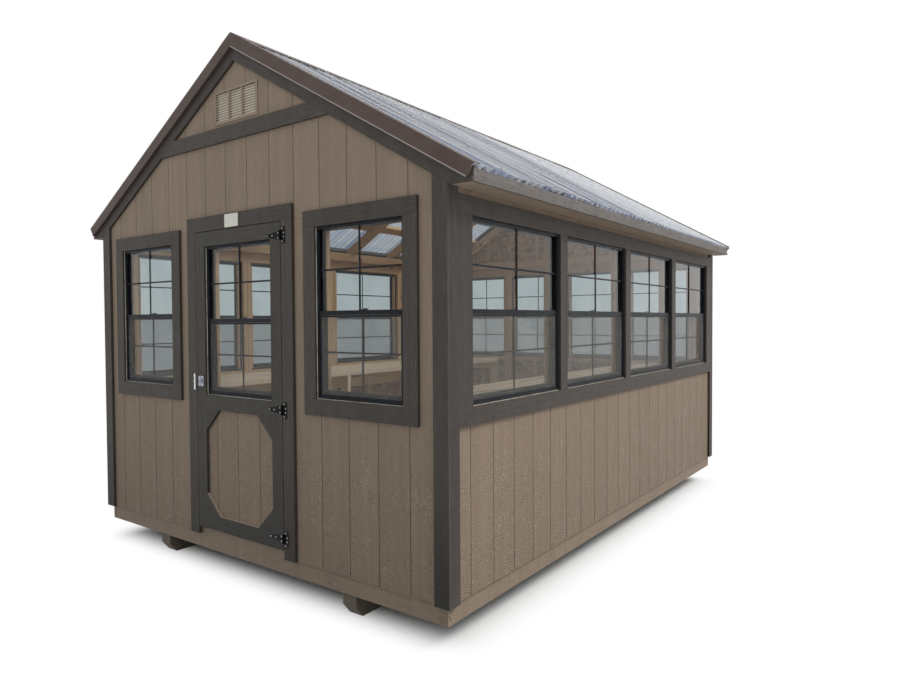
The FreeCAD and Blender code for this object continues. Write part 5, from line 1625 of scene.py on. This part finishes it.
def make_hinge_black():
    """Black powder coat with an orange-peel texture, scuffed grey on its edges."""
    mix = Finish("hinge_black")
    peel = mix.noise(mix.spot(), 420)
    pale_edges = mix.group(edge_wear_and_highlight, {"Amount": mix.ramp(peel, 0.5, 0.65, 0.1, 0.6)})["Wear And Highlight"]
    mix.give("Base Color", mix.blend(pale_edges, tint(9, 10, 13), tint(34, 36, 42)))
    mix.give("Roughness", mix.ramp(peel, 0.3, 0.7, 0.3, 0.48))
    mix.give("Specular IOR Level", 0.12)
    mix.bump(peel, 0.0004, 0.4)
    return mix


def hinge_screw(mesh, point):
    """Adds a pan-headed screw with a recess, on the face of the door."""
    shape = [(0, 0), (1, 0), (0.94, 0.3), (0.6, 0.55), (0.34, 0.58), (0.28, 0.25), (0, 0.25)]
    turned(mesh, [(r * HINGE_SCREW, h * HINGE_SCREW) for r, h in shape], facing(point, TO_FRONT))


hinge_black = make_hinge_black()
strap_mesh = bmesh.new()
jamb_mesh = bmesh.new()
strap_screws = bmesh.new()
jamb_screws = bmesh.new()
pin_low, pin_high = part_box("hinge_pins")
pin_place = Matrix.Translation(((pin_low.x + pin_high.x) / 2, (pin_low.y + pin_high.y) / 2, 0))
pin_x = pin_place.translation.x
pin_radius = (pin_high.x - pin_low.x) / 2
straps_high = box_of(solids_of("hinge_straps"))[1]
knuckle_radius = straps_high.x - pin_x
door_face = straps_high.y


def on_door(u, w, d):
    return Vector((u, door_face - d, w))


def add_lug(mesh, outline, leaf):
    """Adds the neck between a leaf and its knuckle, a little thinner than the leaf on both faces."""
    slab(mesh, [(outline, leaf * LUG_THINNER), (outline, leaf * (1 - LUG_THINNER))], on_door)


def knuckle(mesh, low, high):
    """Adds a rolled knuckle with its bore, about the pin."""
    bore = pin_radius + BORE_PLAY
    lip = knuckle_radius - LEAF_EASE
    profile = [
        (bore, low), (lip, low), (knuckle_radius, low + LEAF_EASE), (knuckle_radius, high - LEAF_EASE),
        (lip, high), (bore, high),
    ]
    turned(mesh, profile, pin_place, KNUCKLE_SIDES, hollow=True)


knuckles = []
for strap, plate in zip(solids_of("hinge_straps"), solids_of("hinge_plates")):
    strap_low, strap_high = box_of([strap])
    jamb_low, jamb_high = box_of([plate])
    depths = [door_face - c.y for c in corners_of(strap)]
    leaf = min(depth for depth in depths if depth > TOUCHING)
    middle = (strap_low.z + strap_high.z) / 2
    own = [c.z for c in corners_of(strap) if c.x > pin_x]
    barrel = [c.z for c in corners_of(plate) if c.x < pin_x]
    pair = ((min(barrel), min(own) - KNUCKLE_GAP), (max(own) + KNUCKLE_GAP, max(barrel)))
    knuckles.append((strap_mesh, min(own), max(own)))
    knuckles += [(jamb_mesh, low, high) for low, high in pair]

    tip = strap_low.x
    root = pin_x - knuckle_radius - LEAF_GAP
    half_root = (strap_high.z - strap_low.z) / 2
    half_tip = half_root * STRAP_TIP
    taper = [
        (tip, middle - half_tip), (root, middle - half_root),
        (root, middle + half_root), (tip, middle + half_tip),
    ]
    outline = rounded(taper, STRAP_CORNER)
    slab(strap_mesh, [(outline, 0), (outline, leaf)], on_door)
    add_lug(strap_mesh, box_outline(root - LUG_REACH, pin_x, min(own), max(own)), leaf)
    for share in STRAP_STEPS:
        hinge_screw(strap_screws, on_door(tip + (root - tip) * share, middle, leaf))
    for rise in (-ROOT_SCREW_RISE, ROOT_SCREW_RISE):
        hinge_screw(strap_screws, on_door(root - ROOT_SCREW, middle + rise * half_root, leaf))

    edge = pin_x + knuckle_radius + LEAF_GAP
    outline = rounded(box_outline(edge, jamb_high.x, jamb_low.z, jamb_high.z), JAMB_CORNER)
    slab(jamb_mesh, [(outline, 0), (outline, leaf)], on_door)
    for low, high in pair:
        add_lug(jamb_mesh, box_outline(pin_x, edge + LUG_REACH, low, high), leaf)
    for share in PLATE_STEPS:
        across = END_SCREW_SHARE if share in PLATE_STEPS[::3] else MID_SCREW_SHARE
        height = jamb_low.z + (jamb_high.z - jamb_low.z) * share
        hinge_screw(jamb_screws, on_door(edge + across * (jamb_high.x - edge), height, leaf))
for mesh in (strap_mesh, jamb_mesh):
    ease_edges(mesh, LEAF_EASE, 1)
for mesh, low, high in knuckles:
    knuckle(mesh, low, high)
fit(new_piece("hinge_strap_leaves", strap_mesh), hinge_black, "hinge_black", "door", "hinge_straps")
fit(new_piece("hinge_jamb_leaves", jamb_mesh), hinge_black, "hinge_black", "building", "hinge_plates")
fit(new_piece("hinge_strap_screws", strap_screws), zinc, "steel", "door")
fit(new_piece("hinge_jamb_screws", jamb_screws), zinc, "steel", "building")

pin_mesh = bmesh.new()
for triangles in solids_of("hinge_pins"):
    low, high = box_of([triangles])
    profile = [
        (0, low.z), (0.7 * pin_radius, low.z), (pin_radius, low.z + PIN_CAP),
        (pin_radius, high.z - PIN_CAP), (0.7 * pin_radius, high.z), (0, high.z),
    ]
    turned(pin_mesh, profile, pin_place, PIN_SIDES)
fit(new_piece("hinge_pin_rods", pin_mesh), hinge_black, "steel", "building", "hinge_pins")

# Handle: a chromed T-handle cast in zinc. Its stem turns in a collar on a square base plate that two screws
# hold, and a lock plug sits in the middle of the grip. A flat steel cam on the stem's end swings behind the
# jamb to latch.
BASE_CORNER = 0.007
BASE_EASE = 0.0018
BASE_SCREW = 0.0245
COLLAR_FOOT = [(0.0165, 0), (0.0148, 0.0012), (0.014, 0.003)]
COLLAR_RADIUS = 0.014
COLLAR_TOP = 0.0128
COLLAR_CHAMFER = 0.001
COLLAR_SIDES = 40
GRIP_SIDES = 32
STEM_RADIUS = 0.0058
STEM_SWELL = [(0.0058, -0.022), (0.0066, -0.012), (0.0084, -0.003), (0.0084, 0.0035)]
BOSS_RADIUS = 0.0064
BOSS_FRONT = 0.0065
PLUG_RADIUS = 0.0048
PLUG_EDGE = 0.0006
PLUG_PROUD = 0.0009
PLUG_SIDES = 24
SLOT_LENGTH = 0.0056
SLOT_WIDTH = 0.0012
SLOT_DEPTH = 0.0002


def plated(name, bright, dull):
    """Chrome plate with smears from hands, dull where they are thick."""
    gloss = (0.3, 0.75, 0.06, 0.2)
    mix = mottled(name, (90.0, 90.0, 30.0), 4.0, (0.4, 0.7, 0.0, 0.7), bright, dull, gloss)
    mix.give("Metallic", 1.0)
    return mix


chrome = plated("chrome", tint(214, 218, 220), tint(176, 180, 184))
# Painted reflection: the base plate's chrome is darker, standing in for the dark things it reflects.
dark_reflection_chrome = plated("dark_reflection_chrome", tint(168, 173, 182), tint(108, 114, 124))

base_low, base_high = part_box("handle_base")
base_size = base_high - base_low
stem_x = (base_low.x + base_high.x) / 2
stem_z = (base_low.z + base_high.z) / 2
door_skin = base_high.y
base_corners = corners_of(solids_of("handle_base")[0])
base_thick = door_skin - min(c.y for c in base_corners if c.x > base_high.x - TOUCHING)
collar_length = door_skin - base_thick - base_low.y


def on_stile(u, w, d):
    return Vector((stem_x + u, door_skin - d, stem_z + w))


def base_level(inset, depth):
    outline = centred(base_size.x - 2 * inset, base_size.z - 2 * inset)
    return rounded(outline, BASE_CORNER - inset), depth


base_mesh = bmesh.new()
base_levels = [
    base_level(0, 0),
    base_level(0, base_thick - BASE_EASE),
    base_level(0.4 * BASE_EASE, base_thick - 0.4 * BASE_EASE),
    base_level(BASE_EASE, base_thick),
]
slab(base_mesh, base_levels, on_stile)
collar_profile = [
    (0, 0), *COLLAR_FOOT, (COLLAR_RADIUS, collar_length - COLLAR_CHAMFER), (COLLAR_TOP, collar_length),
    (0, collar_length),
]
turned(base_mesh, collar_profile, facing(on_stile(0, 0, base_thick), TO_FRONT), COLLAR_SIDES)
for rise in (-BASE_SCREW, BASE_SCREW):
    hinge_screw(base_mesh, on_stile(0, rise, base_thick))
fit(new_piece("handle_base_plate", base_mesh), dark_reflection_chrome, "chrome", "door", "handle_base")

grip_low, grip_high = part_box("door_handle")
grip_radius = (grip_high.x - grip_low.x) / 2
grip_half = (grip_high.z - grip_low.z) / 2
grip_y = grip_low.y + grip_radius
half_swell = [(0, 1.0), (0.5, 0.995), (0.82, 0.97), (1.0, 0.9), (0.99, 0.7), (0.86, 0.35)]
swell = [(r, -h) for r, h in half_swell] + [(0.84, 0.0)] + half_swell[::-1]
grip_profile = [(r * grip_radius, h * grip_half) for r, h in swell]
handle_mesh = bmesh.new()
turned(handle_mesh, grip_profile, Matrix.Translation((stem_x, grip_y, stem_z)), GRIP_SIDES)
stem_back = Vector((stem_x, grip_high.y, stem_z))
stem_length = grip_high.y - grip_y
stem_profile = [
    (0, 0), (STEM_RADIUS, 0), *[(r, stem_length + past) for r, past in STEM_SWELL],
    (BOSS_RADIUS, stem_length + BOSS_FRONT), (0, stem_length + BOSS_FRONT),
]
turned(handle_mesh, stem_profile, facing(stem_back, TO_FRONT), GRIP_SIDES)
fit(new_piece("handle_grip", handle_mesh), chrome, "chrome", "handle", "door_handle")

plug_mesh = bmesh.new()
plug_back = Vector((stem_x, grip_y - BOSS_FRONT, stem_z))
plug_front = plug_back.y - PLUG_PROUD
plug_profile = [
    (0, 0), (PLUG_RADIUS, 0), (PLUG_RADIUS, PLUG_EDGE), (0.85 * PLUG_RADIUS, PLUG_PROUD), (0, PLUG_PROUD)
]
turned(plug_mesh, plug_profile, facing(plug_back, TO_FRONT), PLUG_SIDES)
slot_outline = rounded(centred(SLOT_WIDTH, SLOT_LENGTH), SLOT_WIDTH / 2.2)
slab(
    plug_mesh, [(slot_outline, 0), (slot_outline, SLOT_DEPTH)],
    lambda u, w, d: Vector((stem_x + u, plug_front - d, stem_z + w)),
)
lock_plug = fit(new_piece("handle_lock_plug", plug_mesh), zinc, "steel", "handle")
refinish(lock_plug, hinge_black, lambda p: p.center.y < plug_front - SLOT_DEPTH / 4)
latch_cam = new_piece("latch_cam_plate", eased(solids_of("latch_cam"), LEAF_EASE))
fit(latch_cam, zinc, "steel", "handle", "latch_cam")

# Stage: a pale studio floor under a white surround, a broad soft sun from the right, the light of the sky,
# and the camera where the photograph was taken from: eye height, off the front right corner.
FLOOR_REACH = 60.0
FLOOR_CELLS = 8
FLOOR_COLOUR = (0.95, 0.975, 1.0, 1.0)
SIDE_SHADOW_INSET = 0.14
END_SHADOW_INSET = 0.22
SHADOW_WIDTH = 0.32
DARK_FLOOR = 4.0
BLACK = (0.0, 0.0, 0.0, 1.0)
WHITE = (1.0, 1.0, 1.0, 1.0)
SKY_COLOUR = (0.97, 1.0, 0.975, 1.0)
SKY_LIGHT = 0.68
SUN_COLOUR = (1.0, 0.945, 0.89)
SUN_LIGHT = 1.75
SUN_SPREAD = math.radians(25)
SUN_FROM = Vector((0.62, 0.22, 0.78))
CAMERA_PLACE = Vector((3.360, -4.602, 1.551))
CAMERA_YAW = math.radians(36.346)
CAMERA_DOWN = math.radians(1.448)
CAMERA_ROLL = math.radians(0.338)
CAMERA_LENS = 26.80
BOUNCES = 32
CLEAR_BOUNCES = 48

scene = bpy.context.scene
scene.view_settings.view_transform = "Standard"
scene.cycles.max_bounces = BOUNCES
scene.cycles.transmission_bounces = BOUNCES
scene.cycles.transparent_max_bounces = CLEAR_BOUNCES


def seen_rays(mix):
    """One for a ray that shows the surround as white: from the camera, or from gloss."""
    path = mix.add("LightPath").outputs
    gloss = mix.sum_of("SUBTRACT", path["Is Glossy Ray"], path["Is Transmission Ray"])
    return mix.most(path["Is Camera Ray"], gloss)


world = bpy.data.worlds.new("surround")
scene.world = world
world.use_nodes = True
world.node_tree.nodes.clear()
surround = Mix(world.node_tree)
sky = surround.add("Background", {"Color": SKY_COLOUR, "Strength": SKY_LIGHT}).outputs[0]
white = surround.add("Background", {"Color": WHITE, "Strength": 1.0}).outputs[0]
mixed = surround.add("MixShader", {0: seen_rays(surround), 1: sky, 2: white}).outputs[0]
surround.add("OutputWorld", {"Surface": mixed})

floor_mesh = bmesh.new()
bmesh.ops.create_grid(floor_mesh, x_segments=FLOOR_CELLS, y_segments=FLOOR_CELLS, size=FLOOR_REACH)
floor = new_piece("studio_floor", floor_mesh, smooth=False)
floor_paint = bpy.data.materials.new("studio_floor")
floor_paint.use_nodes = True
floor_paint.node_tree.nodes.clear()
paint = Mix(floor_paint.node_tree)
shaded = (rim_high.x - SIDE_SHADOW_INSET, rim_high.y - END_SHADOW_INSET, 0.0)
past = paint.vector("SUBTRACT", paint.vector("ABSOLUTE", paint.spot()), shaded)
away = paint.vector("LENGTH", paint.vector("MAXIMUM", past, (0.0, 0.0, 0.0)), output="Value")
through = paint.add("LightPath").outputs["Is Transmission Ray"]
seen = paint.most(seen_rays(paint), through)
fade = paint.times(paint.ramp(away, 0.0, SHADOW_WIDTH), seen)
shine = paint.ramp(through, 0.0, 1.0, 1.0, SKY_LIGHT)
# Painted shade: for bounced light the floor is dark near the building and pale far off, so the walls are
# darker low down.
bounce = paint.ramp(away, 0.0, DARK_FLOOR, 0.1, 0.9)
pale = paint.blend(paint.most(seen, bounce), BLACK, FLOOR_COLOUR)
matt = paint.add("BsdfDiffuse", {"Color": pale}).outputs[0]
glow = paint.add("Emission", {"Color": WHITE, "Strength": shine}).outputs[0]
mixed = paint.add("MixShader", {0: fade, 1: matt, 2: glow}).outputs[0]
paint.add("OutputMaterial", {"Surface": mixed})
floor.data.materials.append(floor_paint)

sun_data = bpy.data.lights.new("soft_sun", "SUN")
sun_data.energy = SUN_LIGHT
sun_data.angle = SUN_SPREAD
sun_data.color = SUN_COLOUR
sun = bpy.data.objects.new("soft_sun", sun_data)
sun.rotation_mode = "QUATERNION"
sun.rotation_quaternion = SUN_FROM.to_track_quat("Z", "Y")
scene.collection.objects.link(sun)

ahead = math.cos(CAMERA_DOWN)
forward = Vector((-math.sin(CAMERA_YAW) * ahead, math.cos(CAMERA_YAW) * ahead, -math.sin(CAMERA_DOWN)))
level = Vector((math.cos(CAMERA_YAW), math.sin(CAMERA_YAW), 0))
sink = forward.cross(level)
right = level * math.cos(CAMERA_ROLL) + sink * math.sin(CAMERA_ROLL)
drop = sink * math.cos(CAMERA_ROLL) - level * math.sin(CAMERA_ROLL)
turn = Matrix((right, -drop, -forward)).transposed().to_4x4()
camera_data = bpy.data.cameras.new("camera")
camera_data.lens = CAMERA_LENS
camera = bpy.data.objects.new("camera", camera_data)
camera.matrix_world = Matrix.Translation(CAMERA_PLACE) @ turn
scene.collection.objects.link(camera)
scene.camera = camera
